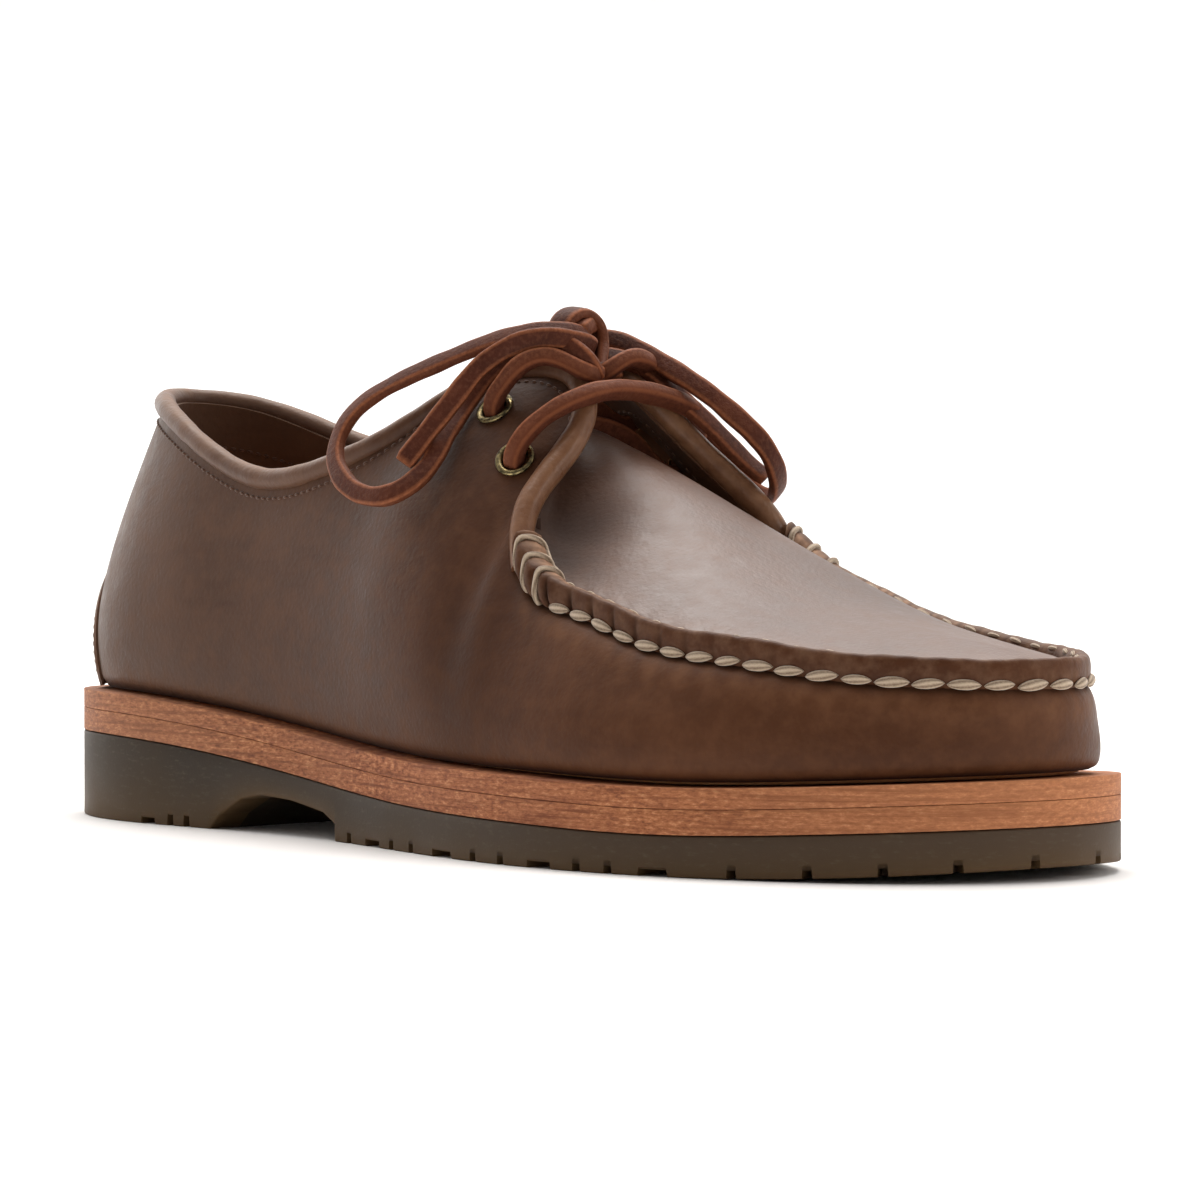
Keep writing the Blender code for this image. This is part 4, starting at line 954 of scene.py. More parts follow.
def folded(points):
    """Height of all the listed folds at each point: a bell along each fold times a bell across it."""
    height = np.zeros(points.shape[:-1])
    for middle, direction, half_length, half_width, depth in FOLDS:
        offset = points - np.array(middle, float)
        along = (offset * unit(np.array(direction, float))).sum(-1)
        across = np.sqrt(np.maximum((offset**2).sum(-1) - along**2, 0))
        height += depth * bump(along, half_length) * bump(across, half_width)
    return height


def distance_to(points, spot):
    """How far each point is from a spot or from the points of another grid."""
    return np.linalg.norm(points - spot, axis=-1)


def from_stitch(way):
    """How far a spot of the seam is from the nearest gap between two stitches, as a share of a stitch."""
    phase = (way - ROLL_SEAM) / STITCH_PITCH
    return np.abs(phase - np.round(phase))


places = np.linspace(0, 100, WALL_PLACES, endpoint=False)
wall = wall_at(*np.meshgrid(places, np.linspace(0, 1, WALL_RISES)))
wall_out = normals_of(np.concatenate([wall[:, -1:], wall, wall[:, :1]], axis=1))[:, 1:-1]
below, foot = distance_to(wall, wall[-1:]), distance_to(wall, wall[:1])
seam_at = np.interp(places, SEAM_PLACES, SEAM_WAY)
on_seam = smooth((seam_at - 2) / 6) * smooth((SEAM_LENGTH - 2 - seam_at) / 6)
puckers = np.cos(2 * math.pi * (seam_at - ROLL_SEAM) / STITCH_PITCH)
strength = 0.16 + 0.12 * np.sin(seam_at / 17.0) + 0.08 * np.sin(seam_at / 7.3)
lift = folded(wall)
lift -= on_seam * (GROOVE_DEPTH * bump(below, 1.7) + 0.15 * strength * puckers * bump(below - 1.5, 4.2))
lift += on_seam * SWELL_HEIGHT * bump(below - 5.0, 3.0)
lift -= FOOT_DEPTH * bump(foot, FOOT_WIDTH)
outer_wall = wall + wall_out * lift[..., None]
inner_rows = outer_wall[::-9] - wall_out[::-9] * SKIN
hem = (outer_wall[-1:] + inner_rows[:1]) / 2 + UP * 0.5
foot_hem = (outer_wall[:1] + inner_rows[-1:]) / 2 - UP * 0.1
shell = np.concatenate([outer_wall, hem, inner_rows, foot_hem])
# painted shade in the groove under the stitch line and in the crease along the foot; pale wear on the swell under
# the seam and just above the foot
wear_and_light, shade = np.zeros(shell.shape[:2]), np.zeros(shell.shape[:2])
wear_and_light[:WALL_RISES] = 0.4 * on_seam * bump(below - 4.0, 4.0) * (0.8 + 0.2 * puckers) + 0.25 * bump(foot - 2, 3)
shade[:WALL_RISES] = on_seam * 0.8 * bump(below, 1.5) + 0.7 * bump(foot, FOOT_WIDTH)
# painted shade below the outer flap
dull = bump(distance_to(wall / FLAP_SHADE_SHAPE, FLAP_SHADE_SPOT / FLAP_SHADE_SHAPE), FLAP_SHADE_SIZE)
shade[:WALL_RISES] = np.maximum(shade[:WALL_RISES], 0.42 * dull)
print(f"seam {SEAM_LENGTH:.0f} mm long, {STITCH_COUNT} stitches {STITCH_PITCH:.2f} mm apart")
upper_piece = put_leather(
    "quarters_and_vamp", shell, UPPER_LEATHER, wear_and_light, shade, closed="columns and rows", crease=SHEET_CREASE
)

# %% [markdown]
# The moccasin seam stands up from the shoe like a small wall: the plug's edge and the vamp's edge are drawn
# together and folded over. Its section is carried along the stitch line. Where the thread goes through, in the
# gap between two grains of stitching, the leather is pinched, and above each grain it bulges. The first
# centimetre and a half at each corner is a thick roll.

# %% Raised seam
ROLL_EXTRA, ROLL_PLACES = 2.4, 2.6
SECTION_MIDDLE, SECTION_HEIGHT = -1.35, 5.0
SECTION = np.array([
    # outwards, up, share of the pinch and of its painted shade, share of the pale rim
    (-3.2, -1.2, 0, 0), (-1.2, -1.3, 0, 0), (-0.35, -0.7, 0.4, 0), (0.1, 0.1, 1, 0), (0.45, 1.1, 1, 0),
    (0.55, 2.2, 0.9, 0), (0.5, 3.3, 0.65, 0), (0.35, 4.4, 0.4, 0), (0.05, 5.05, 0.22, 0), (-0.7, 5.35, 0.12, 0.3),
    (-1.8, 5.15, 0.16, 1), (-2.6, 4.5, 0.3, 0.9), (-3, 3.3, 0.4, 0), (-3.2, 2.2, 0.3, 0), (-3.3, 0.8, 0, 0),
])
OUTWARDS, UPWARDS, PINCH_SHARE, RIM_SHARE = SECTION.T
WRAP_WAYS = (2.6, 7.9, 13.2)


def to_end(way):
    """How far a spot of the seam is from the nearer corner."""
    return np.minimum(way, SEAM_LENGTH - way)


def seam_frame(way):
    """Points of the stitch line at distances along it, with the level outward direction."""
    return edge_out(np.interp(way, SEAM_WAY, SEAM_PLACES))


def ridge_grid(way, grow=0.0):
    """The seam's section at distances along it, made bigger by grow. Pinches follow the stitches, and the
    section is higher and fatter in the rolls at the corners, apart from where a thread is wound round them."""
    point, out = seam_frame(way)
    place = np.interp(way, SEAM_WAY, SEAM_PLACES)
    corner_way = np.minimum(place - OUTER_CORNER, INNER_CORNER - place)[:, None]
    extra = ROLL_EXTRA * (1 - smooth(corner_way / ROLL_PLACES))
    from_end = to_end(way)[:, None]
    fade = np.where(from_end > ROLL_SEAM, 0.1 + 0.62 * (1 - smooth((from_end - ROLL_SEAM) / 62)), 0.0)
    pinch = fade * bump(from_stitch(way)[:, None] * STITCH_PITCH, 0.85)
    near = sum(bump(from_end - wrap, 1.1) for wrap in WRAP_WAYS)
    fat = 1 + 1.15 * smooth(1.6 * extra / ROLL_EXTRA) * (1 - 0.58 * near)
    across = OUTWARDS - pinch * PINCH_SHARE * 0.9 - SECTION_MIDDLE
    across = SECTION_MIDDLE + across * fat + grow * np.clip(across, -1, 1)
    wobble = 0.12 * np.sin(way / 5.3) + 0.08 * np.sin(way / 2.1 + 2) + 0.05 * np.sin(way / 0.9)
    tall = UPWARDS * np.where(UPWARDS > 0, 1 + (extra * (1 - 0.22 * near) + grow) / SECTION_HEIGHT, 1)
    tall = tall + (UPWARDS > 2) * wobble[:, None] * (from_end > ROLL_SEAM)
    return point[:, None] + out[:, None] * across[..., None] + UP * tall[..., None]


ways = np.linspace(0, SEAM_LENGTH, 900)
ridge = ridge_grid(ways)
close = np.sqrt(1 - (1 - np.clip(to_end(ways) / 1.6, 0, 1)) ** 2)
middle = ridge.mean(axis=1, keepdims=True)
ridge = closed_ends(middle + (ridge - middle) * (0.55 + 0.45 * close)[:, None, None])
frayed = 1 - smooth((to_end(ways) - 25) / 50)
ragged = (0.16 + 0.75 * frayed) * (0.75 + 0.3 * np.sin(ways * 2.9) + 0.25 * np.sin(ways * 1.27 + 1))
# painted shade in each pinch, where the thread draws the leather in; pale wear along the frayed rim
pinch_shade = bump(from_stitch(ways) * STITCH_PITCH, 0.8) * (to_end(ways) > ROLL_SEAM)
pinch_shade *= 0.15 + 0.75 * (1 - smooth((to_end(ways) - ROLL_SEAM) / 62))
put_leather(
    "moccasin_seam", ridge, SEAM_LEATHER, np.outer(np.pad(np.clip(ragged, 0, 1), 1), RIM_SHARE),
    np.outer(np.pad(pinch_shade, 1), PINCH_SHARE), crease=CORD_CREASE,
)

# %% [markdown]
# The plug is the top panel inside the seam. Its rows run from the seam to the middle line, and each row is a
# cubic that leaves the seam steeply and lies level over the middle. A few columns more, the wings, run on
# under the two flaps. Behind it the tongue carries on under the laces. Both are thin sheets, so each grid gets
# an under side.

# %% Plug and tongue
SPINE = [
    (121, -3.5, 98.5), (140, -3.2, 95.5), (158, -2.5, 90.5), (175, -1.5, 84.5), (192, -0.5, 76.3),
    (210, 0.5, 66.3), (226, 1, 58), (240, 1.5, 53), (257, 2, 49.2), (274, 2.2, 47),
]
PLUG_REAR, PLUG_FRONT, PLUG_THICKNESS = 158.0, 274.0, 1.6
FOOT_UP, FOOT_IN = 3.2, 3.0
THROAT_FILL, TOE_FILL = 0.7, 1.4
WING_COLUMNS, WING_PLACES = 6, 0.2
# the dip in the plug inside the outer corner, which also gets painted shade, and a patch of painted shade beside
# the outer flap's roll
HOLLOW_SPOT, PLUG_SHADE_SPOT, PLUG_SHADE_SHAPE = (183.0, -25.0, 70.0), np.array([181.0, -34.0, 64.0]), (1.5, 1.0, 1.2)
TONGUE_REAR, TONGUE_HALF, TONGUE_THICKNESS, TONGUE_DROP = 136.0, 19.0, 1.8, 3.0


def spine_at(along):
    """The middle line's points at distances along the shoe."""
    table = np.array(SPINE)
    along = np.asarray(along, float)
    return np.concatenate([along[..., None], spline(table[:, 0], table[:, 1:], along)], axis=-1)


def plug_rows(places, steps):
    """Rows of the plug from the seam to its middle line, level across the middle."""
    stitch, out = edge_out(places)
    start = stitch + UP * FOOT_UP - out * FOOT_IN
    seam_x = start[:, 0]
    rear = np.where(places < 50, seam_x[0], seam_x[-1])
    share = np.clip((seam_x - rear) / (seam_x.max() - rear), 0, 1)
    share = (share + share[::-1]) / 2
    spine = spine_at(PLUG_REAR + (PLUG_FRONT - PLUG_REAR) * share)
    pitch = (spine_at(spine[:, 0] + 1)[:, 2] - spine_at(spine[:, 0] - 1)[:, 2]) / 2
    rise = spine[:, 2] - start[:, 2]
    first = rise * (THROAT_FILL + (TOE_FILL - THROAT_FILL) * smooth(share / 0.45))
    last = pitch * (spine[:, 0] - start[:, 0])
    t = np.asarray(steps)[:, None]
    flat = start[None, :, :2] + (spine - start)[None, :, :2] * t[..., None]
    level = (1 + 2 * t) * (1 - t) ** 2 * start[:, 2] + t * t * (3 - 2 * t) * spine[:, 2]
    level += t * (1 - t) ** 2 * first - t * t * (1 - t) * last
    return np.concatenate([flat, level[..., None]], axis=-1)


def put_sheet(name, top, thick, material, stands_for, wear_and_light, shade, folded_over=False):
    """A closed sheet under a grid: upper side, under side and the edges between them. A sheet that is folded
    over has its two halves already joined along its last row, which then needs no edge."""
    normal = normals_of(top)
    normal *= np.sign(normal[..., 2].mean())
    points, faces = joined([top, top - normal * thick], "")
    lower = len(faces) // 2
    index = np.arange(len(points) // 2).reshape(top.shape[:2])
    faces = [faces[:lower], faces[lower:, ::-1]]
    for side in (index[0], index[:, 0], index[:, -1]) + (() if folded_over else (index[-1],)):
        faces.append(np.stack([side[:-1], side[1:], side[1:] + index.size, side[:-1] + index.size], axis=-1))
    numbers = {"wear_and_light": [wear_and_light, 0 * wear_and_light], "shade": [shade, 0 * shade]}
    put_piece(name, (points, np.concatenate(faces)), material, stands_for, numbers, SHEET_CREASE)


front = np.linspace(OUTER_CORNER, INNER_CORNER, 601)
steps = np.concatenate([[0.0], np.linspace(0.012, 1, 46)])
plug = plug_rows(front, steps)
plug[-1, ::-1][: len(front) // 2] = plug[-1, : len(front) // 2]
wing = np.arange(1, WING_COLUMNS + 1)
fall = (1 - steps[:, None, None]) ** 1.5
back = (spine_at(PLUG_REAR - 1.2 * wing) - plug[-1, 0]) * steps[:, None, None]
wings = []
for end, corner, side in ((0, OUTER_CORNER, -1), (-1, INNER_CORNER, 1)):
    under = edge_point(corner + side * WING_PLACES * wing) - edge_point(np.array([corner]))
    under += np.outer(wing, [0, 0.3 * side, -0.2]) - np.outer(wing**2, 0.1 * UP)
    wings.append(plug[:, end, None] + under * fall + back)
plug = np.concatenate([wings[0][:, ::-1], plug, wings[1]], axis=1)
front = np.concatenate([OUTER_CORNER - WING_PLACES * wing[::-1], front, INNER_CORNER + WING_PLACES * wing])
rim = distance_to(plug, plug[:1])
ripple = np.cos(2 * math.pi * (np.interp(front, SEAM_PLACES, SEAM_WAY) - ROLL_SEAM) / STITCH_PITCH)
plug_out = normals_of(plug)
plug_out *= np.sign(plug_out[..., 2:3])
hollow = bump(distance_to(plug, HOLLOW_SPOT), 13.0)
shade_beside_roll = bump(distance_to(plug / PLUG_SHADE_SHAPE, PLUG_SHADE_SPOT / PLUG_SHADE_SHAPE), 11.0)
lift = -0.12 * ripple * bump(rim - 1.2, 2.6) - 0.5 * bump(rim, 1.0) - 1.5 * hollow
# painted shade along the seam's foot, in the dip and beside the outer flap's roll; a pale band of wear a little
# way in from the seam
put_sheet(
    "plug", plug + plug_out * lift[..., None], PLUG_THICKNESS, PLUG_LEATHER, "upper", 0.3 * bump(rim - 3, 4),
    np.maximum(0.6 * bump(rim, 1.3), np.maximum(0.8 * shade_beside_roll, 0.7 * hollow)), folded_over=True,
)

tongue_lines = plug_rows(np.linspace(OUTER_CORNER, INNER_CORNER, 41), np.linspace(0.3, 1, 16))
lead = np.vstack([tongue_lines[:, 2], tongue_lines[:-1, -3][::-1]])
share = np.linspace(-1, 1, len(lead))
lead[:, 2] -= 1.2 * share**2
tail = spine_at(np.full(len(lead), TONGUE_REAR))
tail += np.column_stack([-4.0 * share**2, share * TONGUE_HALF, -12.0 * share**2])
tongue = lead + (tail - lead) * np.linspace(0, 1, 40)[:, None, None]
middle = len(lead) // 2
arch = spine_at(tongue[:, middle, 0])[:, 2] - tongue[:, middle, 2]
tongue[..., 2] += arch[:, None] * (1 - share**2) - TONGUE_DROP
tongue[..., 2] += 0.35 * np.sin(tongue[..., 0] / 4.5) * bump(share, 0.8)
# the whole tongue carries painted shade, as it lies under the laces and the knot; its side edges are paler with
# wear
put_sheet(
    "tongue_dressed", tongue, TONGUE_THICKNESS, TONGUE_LEATHER, "tongue",
    0.25 * np.broadcast_to(share**8, tongue.shape[:2]), np.full(tongue.shape[:2], 0.72),
)

# %% [markdown]
# The topline and both flap edges are bound with a padded roll of softer leather. It is a round section carried
# along the free edge. It runs on into the thick corners of the seam, and it swells and puckers a little, as a
# stuffed binding does, most just above the two corners.

# %% Padded binding
STUFFED_PLACES = (28.3, -28.9)
roll_places = np.linspace(INNER_CORNER - 100 - 0.12, OUTER_CORNER + 0.12, 760)
roll_line = edge_point(roll_places)
way = way_along(roll_line)
turn = round_angles(22)
swell = 1 + 0.16 * sum(bump(roll_places - stuffed, 2.4) for stuffed in STUFFED_PLACES)
swell += 0.03 * np.sin(way / 9) + 0.018 * np.sin(way / 2.7) + 0.012 * np.sin(way / 1.3 + 1)
frames = carried_frames(roll_line, (0.3, 0.6, 0.7))
binding = swept(roll_line, *frames, np.cos(turn) * ROLL_RADIUS, np.sin(turn) * ROLL_RADIUS, swell)
at_place = np.pad(roll_places, 1, "edge")[:, None]
# painted light: the rolls of both flaps are made paler, the inner one most; the top of the roll is paler all
# along, and the collar gets painted shade
flap_painted_light = 0.5 * smooth((-at_place - 24) / 3) + 0.28 * smooth((at_place - 25) / 3)
collar_shade = 0.22 * (1 - smooth((np.abs(at_place) - 21) / 4))
top_of_roll = np.clip((binding - binding.mean(axis=1, keepdims=True))[..., 2] / ROLL_RADIUS, 0, 1)
put_leather(
    "collar_binding", binding, ROLL_LEATHER, np.maximum(0.5 * top_of_roll**3, flap_painted_light), collar_shade,
    stands_for="collar_roll", crease=CORD_CREASE,
)

# %% [markdown]
# Inside, the shoe is lined with amber leather, and a dark band runs round under the binding. Both are sheets
# that keep a constant distance from the outer face, so the wall has a real inside when one looks in.

# %% Lining and inner band
BAND_HEIGHT, BAND_DEPTHS, LINING_DEPTHS = 13.0, (2.1, 2.95), (1.65, 2.15)


def closed_layers(near, far):
    """Grid that goes up one face and down the other, so the layer closes on itself over both edges."""
    return np.concatenate([near, far[::-1]])


def layer_ends(shell):
    """Quads that close such a layer at its first and last column."""
    rows = len(shell) // 2
    index = np.arange(shell.shape[0] * shell.shape[1]).reshape(shell.shape[:2])
    ends = []
    for end in (0, -1):
        near, far = index[:rows, end], index[rows:, end][::-1]
        ends.append(np.stack([near[:-1], near[1:], far[1:], far[:-1]], axis=-1))
    return ends


column, row = np.meshgrid(np.linspace(0, 100, 421), np.linspace(0.005, 0.985, 34))
lining_wall = wall_at(column, row)
lining_out = normals_of(lining_wall)
lining_out[:, 0] = unit(lining_out[:, 0] + lining_out[:, -1])
lining_wall, lining_out = lining_wall[:, :-1], lining_out[:, :-1]
rumple = 0.25 * np.sin(column[:, :-1] * 2.1) * np.sin(row[:, :-1] * 9)
depth = LINING_DEPTHS[1] + 0.3 * rumple[..., None]
lining = closed_layers(lining_wall - lining_out * LINING_DEPTHS[0], lining_wall - lining_out * depth)
# painted shade on the lining, deepening towards the front, where the inside of the toe is dark
put_leather(
    "lining", lining, LINING_LEATHER, shade=np.tile(0.92 * smooth((lining_wall[..., 0] - 136) / 12), (2, 1)),
    closed="columns and rows",
)
column, row = np.meshgrid(np.linspace(INNER_CORNER - 100 + 0.6, OUTER_CORNER - 0.6, 460), np.linspace(0, 1, 9))
band_wall = wall_at(column, 1 - (1 - row) * BAND_HEIGHT / wall_height(column[0]))
band_out = normals_of(band_wall)
band = closed_layers(*(band_wall - band_out * depth for depth in BAND_DEPTHS))
put_leather("inner_band", band, BAND_LEATHER, closed="rows", more_faces=layer_ends(band))

# %% [markdown]
# A half-moon patch covers the back of the heel. It lies on the wall like a second skin: the same surface,
# moved outwards, thinner at its skived edge, with one row of stitches just inside the edge.

# %% Heel patch
PATCH_HALF, PATCH_TOP, PATCH_LOW_TOP = 5.2, 0.57, 0.10
PATCH_THICKNESS, PATCH_EDGE = 0.9, 0.5


def patch_top(places):
    """Top edge of the half-moon, as a share of the wall's height."""
    share = np.clip(np.abs(places) / PATCH_HALF, 0, 1)
    return PATCH_LOW_TOP + (PATCH_TOP - PATCH_LOW_TOP) * (1 - share**2.2) ** 0.8


column, row = np.meshgrid(PATCH_HALF * np.sin(np.linspace(-math.pi / 2, math.pi / 2, 131)), np.linspace(0, 1, 61))
patch_wall = wall_at(column, row * patch_top(column) + 0.012 * (1 - row))
patch_out = normals_of(patch_wall)
patch_out *= -np.sign(patch_out[30, 65, 0])
from_edge = distance_to(patch_wall, patch_wall[-1:])
for side in (patch_wall[:, :1], patch_wall[:, -1:]):
    from_edge = np.minimum(from_edge, distance_to(patch_wall, side))
thick = PATCH_EDGE + (PATCH_THICKNESS - PATCH_EDGE) * smooth(from_edge / 1.4)
patch = closed_layers(patch_wall - patch_out * 0.1, patch_wall + patch_out * (0.05 + thick)[..., None])
put_leather(
    "heel_patch_dressed", patch, UPPER_LEATHER, closed_layers(0 * from_edge, 0.5 * bump(from_edge - 0.6, 1.0)),
    stands_for="heel_patch", closed="rows", more_faces=layer_ends(patch),
)

# %% [markdown]
# Four eyelets hold the lace: rolled rings of aged brass set through the flaps. A ring is a profile of radius
# and height turned about the flap's normal. A cutter of the same axes then opens the real holes in the wall.

# %% Eyelets and their holes
HOLE_RADIUS, HOLE_FROM, HOLE_TO = 3.3, -6.0, 5.0
HOLE_PROFILE = [(0, HOLE_FROM), (HOLE_RADIUS, HOLE_FROM), (HOLE_RADIUS, HOLE_TO), (0, HOLE_TO)]
EYELET_PROFILE = [
    (2.85, -2.6), (3.1, -2.6), (3.1, 0.3), (4.05, 0.3), (4.32, 0.42), (4.4, 0.62), (4.25, 0.9), (3.9, 1.1),
    (3.5, 1.14), (3.1, 0.98), (2.9, 0.68), (2.82, 0.2),
]


def turned_grid(profile, centre, axis, side, sides):
    """A profile of radius and height, turned about an axis: rows are rings."""
    angle = round_angles(sides)
    spoke = np.outer(np.cos(angle), side) + np.outer(np.sin(angle), np.cross(axis, side))
    radius, height = np.array(profile, float).T[:, :, None, None]
    return centre + axis * height + spoke[None] * radius


def cut_holes(piece, grids):
    """Cuts the closed grids' volume out of a piece, keeps the result as its mesh and removes the tools."""
    points, faces = joined(grids, "columns and rows")
    tools = add_object("hole_tools", make_mesh("hole_tools", (points - CENTRE) * MM, faces))
    cut = piece.modifiers.new("holes", "BOOLEAN")
    cut.operation, cut.solver, cut.object = "DIFFERENCE", "EXACT", tools
    result = bpy.data.meshes.new_from_object(piece.evaluated_get(bpy.context.evaluated_depsgraph_get()))
    piece.modifiers.clear()
    old, piece.data = piece.data, result
    bpy.data.meshes.remove(old)
    bpy.data.objects.remove(tools, do_unlink=True)
    print(f"{piece.name}: holes cut, {len(result.polygons)} faces")


cutters = []
for name, (place, rise) in EYELETS.items():
    axes = wall_frame(place, rise)
    ring = joined([turned_grid(EYELET_PROFILE, *axes, 48)], "columns and rows")
    put_piece(name + "_dressed", ring, BRASS, name)
    cutters.append(turned_grid(HOLE_PROFILE, *axes, 40))
cut_holes(upper_piece, cutters)

# %% [markdown]
# Stitches are small and many, so each row is one joined mesh: a grain-shaped blank of a few dozen points is
# copied along a line by array arithmetic, turned to the line's direction at each spot. The thick linen of the
# moccasin seam lies in its groove like grains of rice, with a small slant from stitch to stitch.

# %% Stitch rows
def stitch_blank(length, wide, thick, rows=9, sides=8):
    """A grain: round section, full in the middle and pinched at both ends. Columns along, across, over."""
    share = np.linspace(-1, 1, rows)
    girth = (1 - np.abs(share) ** 2.3) ** 0.75
    girth[[0, -1]] = 0.0
    angle = round_angles(sides)
    along = np.broadcast_to((share * length / 2)[:, None], (rows, sides))
    across = np.outer(girth, np.cos(angle)) * wide / 2
    over = np.outer(girth, np.sin(angle)) * thick / 2 - (share**2 * thick * 0.35)[:, None]
    return np.stack([along, across, over], axis=-1), (share * length * 0.22)[:, None] + angle[None] * 5


def stitch_row(name, spots, along, over, blank, material, stands_for="upper", slant=0.0):
    """Copies a blank to every spot, turned to the directions there. One joined mesh."""
    points, ply = blank
    along, over = unit(along), unit(over)
    aside = unit(np.cross(over, along))
    over = np.cross(along, aside)
    count = np.arange(len(spots))
    lean = (np.radians(slant) + slant * 0.012 * np.sin(count * 2.1) + slant * 0.01 * np.sin(count * 5.7))[:, None]
    axes = along * np.cos(lean) + aside * np.sin(lean), aside * np.cos(lean) - along * np.sin(lean), over
    size = 1 + 0.05 * np.sin(count * 3.3) + 0.03 * np.sin(count * 7.9)
    points = points[None] * size[:, None, None, None]
    grids = spots[:, None, None] + sum(axis[:, None, None] * points[..., a, None] for a, axis in enumerate(axes))
    put_piece(name, joined(grids), material, stands_for, {"ply": [ply] * len(spots)}, THREAD_CREASE)


stitch_ways = ROLL_SEAM + STITCH_PITCH * (np.arange(STITCH_COUNT) + 0.5)
spots, outs = seam_frame(stitch_ways)
seam_run = seam_frame(stitch_ways + 0.5)[0] - seam_frame(stitch_ways - 0.5)[0]
stitch_row(
    "seam_stitches", spots + outs * 0.75 + UP * 0.15, seam_run, outs + UP * 0.15,
    stitch_blank(6.9, 2.15, 1.5, 15, 10), LINEN_THREAD, slant=5.0,
)
top_ridge = ridge_grid(stitch_ways)
inner_spots = top_ridge[:, 11] * 0.6 + top_ridge[:, 10] * 0.4
stitch_row(
    "seam_inner_stitches", inner_spots - outs * 0.15, seam_run, UP - outs * 0.9, stitch_blank(4.6, 1.1, 0.8),
    LINEN_THREAD, slant=-9.0,
)

# %% [markdown]
# At each corner three turns of the same linen bind the roll. A turn follows the seam's own section, from the
# groove outside, over the top and down to the plug, half a thread above the leather. A short run along the
# inner side joins one turn to the next.

# %% Corner wraps
WRAP_RADIUS, JOIN_RADIUS = 0.66, 0.5


def thread_tube(line, radius, start_up, sides=8):
    """A round thread along a line, with the number that its plies follow."""
    angle = round_angles(sides)
    grid = swept(line, *carried_frames(line, start_up), np.cos(angle) * radius, np.sin(angle) * radius)
    return grid, np.pad(way_along(line), 1, "edge")[:, None] * 0.9 + angle[None] * 3


tubes = []
for from_far in (False, True):
    joins = []
    for number, wrap_way in enumerate(WRAP_WAYS):
        way = wrap_way + 0.9 * np.linspace(-0.9, 1.1, 13)
        section = ridge_grid(SEAM_LENGTH - way if from_far else way, 0.35)
        line = even_route(section[np.arange(13), np.arange(1, 14)], 0.45)
        joins.append(line[-6])
        tubes.append(thread_tube(line, WRAP_RADIUS, UP if number else (0.1, 0.0, 1.0)))
    for first, second in zip(joins[:-1], joins[1:]):
        route = [first, (first + second) / 2 + UP * 0.3, second + (first - second) * 0.02]
        tubes.append(thread_tube(even_route(route, 0.5), JOIN_RADIUS, UP))
grids, plies = zip(*tubes)
put_piece("corner_wraps", joined(grids), LINEN_THREAD, numbers={"ply": plies}, crease=THREAD_CREASE)

# %% [markdown]
# The quarters carry thin brown sewing: one row close under the binding all round the topline and the flaps,
# one on the inner band, and one round the heel patch.

# %% Thin sewing
def sewing(name, places, rises, pitch, blank, off, stands_for="upper", inward=False):
    """A row of thin stitches at places and rises of the wall, off mm from its face."""
    dense = np.linspace(0, len(places) - 1, 4000)
    place, rise = (np.interp(dense, np.arange(len(places)), values) for values in (places, rises))
    line = wall_at(place, rise)
    way = way_along(line)
    at = np.arange(pitch / 2, way[-1], pitch)
    along = [np.interp(at + 0.4, way, axis) - np.interp(at - 0.4, way, axis) for axis in line.T]
    place, rise = np.interp(at, way, place), np.interp(at, way, rise)
    across = wall_at(place + 0.02, rise) - wall_at(place - 0.02, rise)
    out = unit(np.cross(across, wall_at(place, rise + 0.004) - wall_at(place, rise - 0.004)))
    spots = wall_at(place, rise) + out * off
    stitch_row(name, spots, np.column_stack(along), -out if inward else out, blank, BROWN_THREAD, stands_for)


fine = stitch_blank(1.65, 0.72, 0.6, 7, 6)
topline = np.linspace(INNER_CORNER - 100 + 0.9, OUTER_CORNER - 0.9, 500)
height = wall_height(topline, 0.85) / 0.15
sewing("topline_sewing", topline, 1 - 4.6 / height, 2.1, fine, 0.1)
sewing("band_sewing", topline, 1 - 10.5 / height, 2.2, fine, -3.0, inward=True)
arc = PATCH_HALF * np.sin(np.linspace(-1, 1, 300) * 0.955 * math.pi / 2)
flat = stitch_blank(1.65, 0.6, 0.35, 7, 6)
sewing("patch_sewing", arc, patch_top(arc / 0.955) - 0.032, 2.1, flat, 0.94, "heel_patch")

# %% [markdown]
# The studio is a pale floor that curves up into a wall all round, like a shallow bowl, so every side of the
# shoe has the same background. Out on the side away from the bright side its paper is painted darker grey, a
# painted shade, and out on the bright side the wall glows faintly, a painted light. One broad lamp hangs over the
# shoe, a second stands to the left and behind for the long highlights on the quarters, a small third one lights
# the toe, and the sky is a pale grey that is brighter on the far side and fills the shadows.

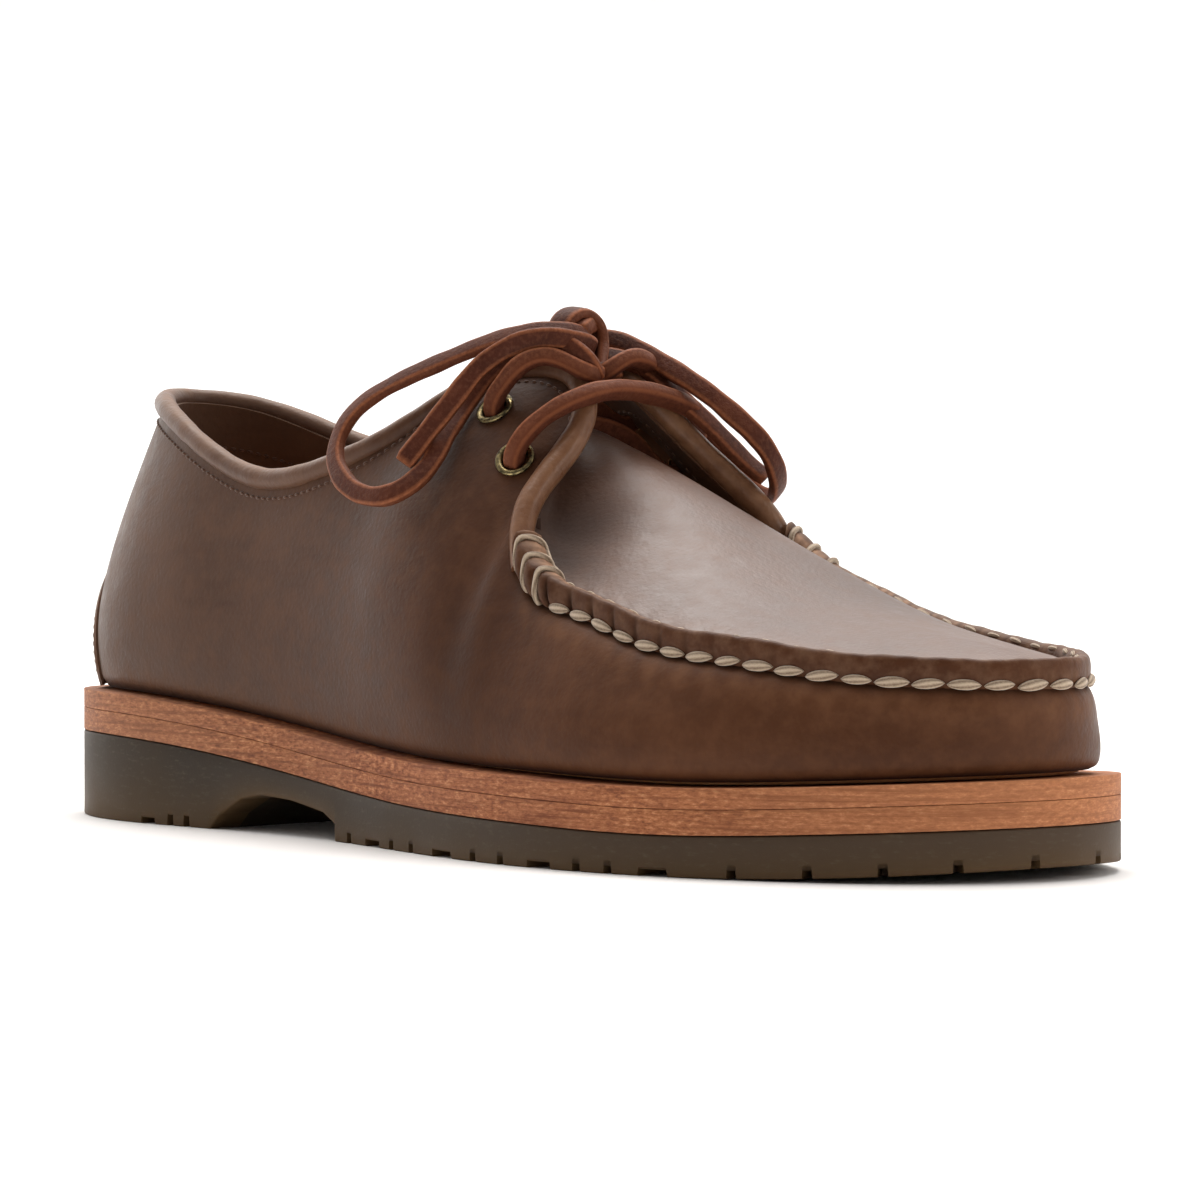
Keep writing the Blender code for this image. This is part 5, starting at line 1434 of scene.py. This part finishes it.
# %% Floor and light
BOWL = [(0, 0), (0.4, 0), (0.8, 0), (1.3, 0), (1.9, 0), (2.4, 0.06), (2.8, 0.28), (3.05, 0.7), (3.15, 1.3)]
BRIGHT_SIDE, BRIGHT_SKY = (-0.77, 0.64, 0.0), (-0.6, 0.5, 0.62)
bowl = turned_grid(BOWL, np.zeros(3), UP, np.array([1.0, 0.0, 0.0]), 96)
floor_mesh = make_mesh("studio_floor", *joined([bowl], "columns"))
if sum(face.normal.z for face in floor_mesh.polygons) < 0:
    floor_mesh.flip_normals()
floor_mesh.shade_smooth()
paper = new_finish("pale_paper")
distance = paper.node("VectorMath", {0: paper.where}, operation="LENGTH").outputs["Value"]
wall_share = paper.mapped(distance, 1.5, 2.4, 0.0, 1.0)
# the share of the paper painted darker grey, a painted shade, on the side away from the bright side
painted_shade_side = paper.mapped(paper.towards(BRIGHT_SIDE), 1.6, -0.6, 0.0, 1.0)
# painted light: the wall on the bright side glows
glow = paper.maths("MULTIPLY", wall_share, paper.maths("SUBTRACT", 1.0, painted_shade_side))
paper.colour = (0.92, 0.92, 0.92, 1.0)
paper.tint((0.3, 0.3, 0.31), paper.maths("MULTIPLY", wall_share, painted_shade_side))
floor_mesh.materials.append(paper.done(
    Emission_Strength=paper.maths("MULTIPLY", glow, 0.42), Emission_Color=(1.0, 1.0, 1.0, 1.0), Roughness=0.95,
    Specular_IOR_Level=0.1,
))
floor = add_object("studio_floor", floor_mesh)
LAMPS = [
    # name, spot, aim in metres, side in metres, watts
    ("overhead", (-0.4, 0.4, 1.6), (0, 0, 0.05), 1.3, 30),
    ("left_low", (-2.2, 0.3, 0.7), (0, 0, 0.08), 1.4, 10),
    ("toe_side", (1.5, 0.6, 0.75), (0.1, 0, 0.05), 0.7, 6),
]
for name, spot, aim_at, size, power in LAMPS:
    data = bpy.data.lights.new(name, "AREA")
    data.shape, data.size, data.energy, data.color = "SQUARE", size, power, (1.0, 0.965, 0.93)
    light = add_object(name, data)
    light.location = spot
    light.rotation_euler = (Vector(aim_at) - Vector(spot)).to_track_quat("-Z", "Y").to_euler()
world = bpy.data.worlds.new("studio_air")
sky = Recipe(world, "Background", "Generated")
sky.put(sky.shader.inputs["Strength"], sky.mapped(sky.towards(BRIGHT_SKY), 0.0, 0.92, 0.12, 1.62))
sky.put(sky.shader.inputs["Color"], (1.0, 0.97, 0.94, 1))
bpy.context.scene.world = world
bpy.context.scene.view_settings.view_transform = "Standard"
print(f"{len(LAMPS)} lamps, floor of {len(floor_mesh.polygons)} faces")
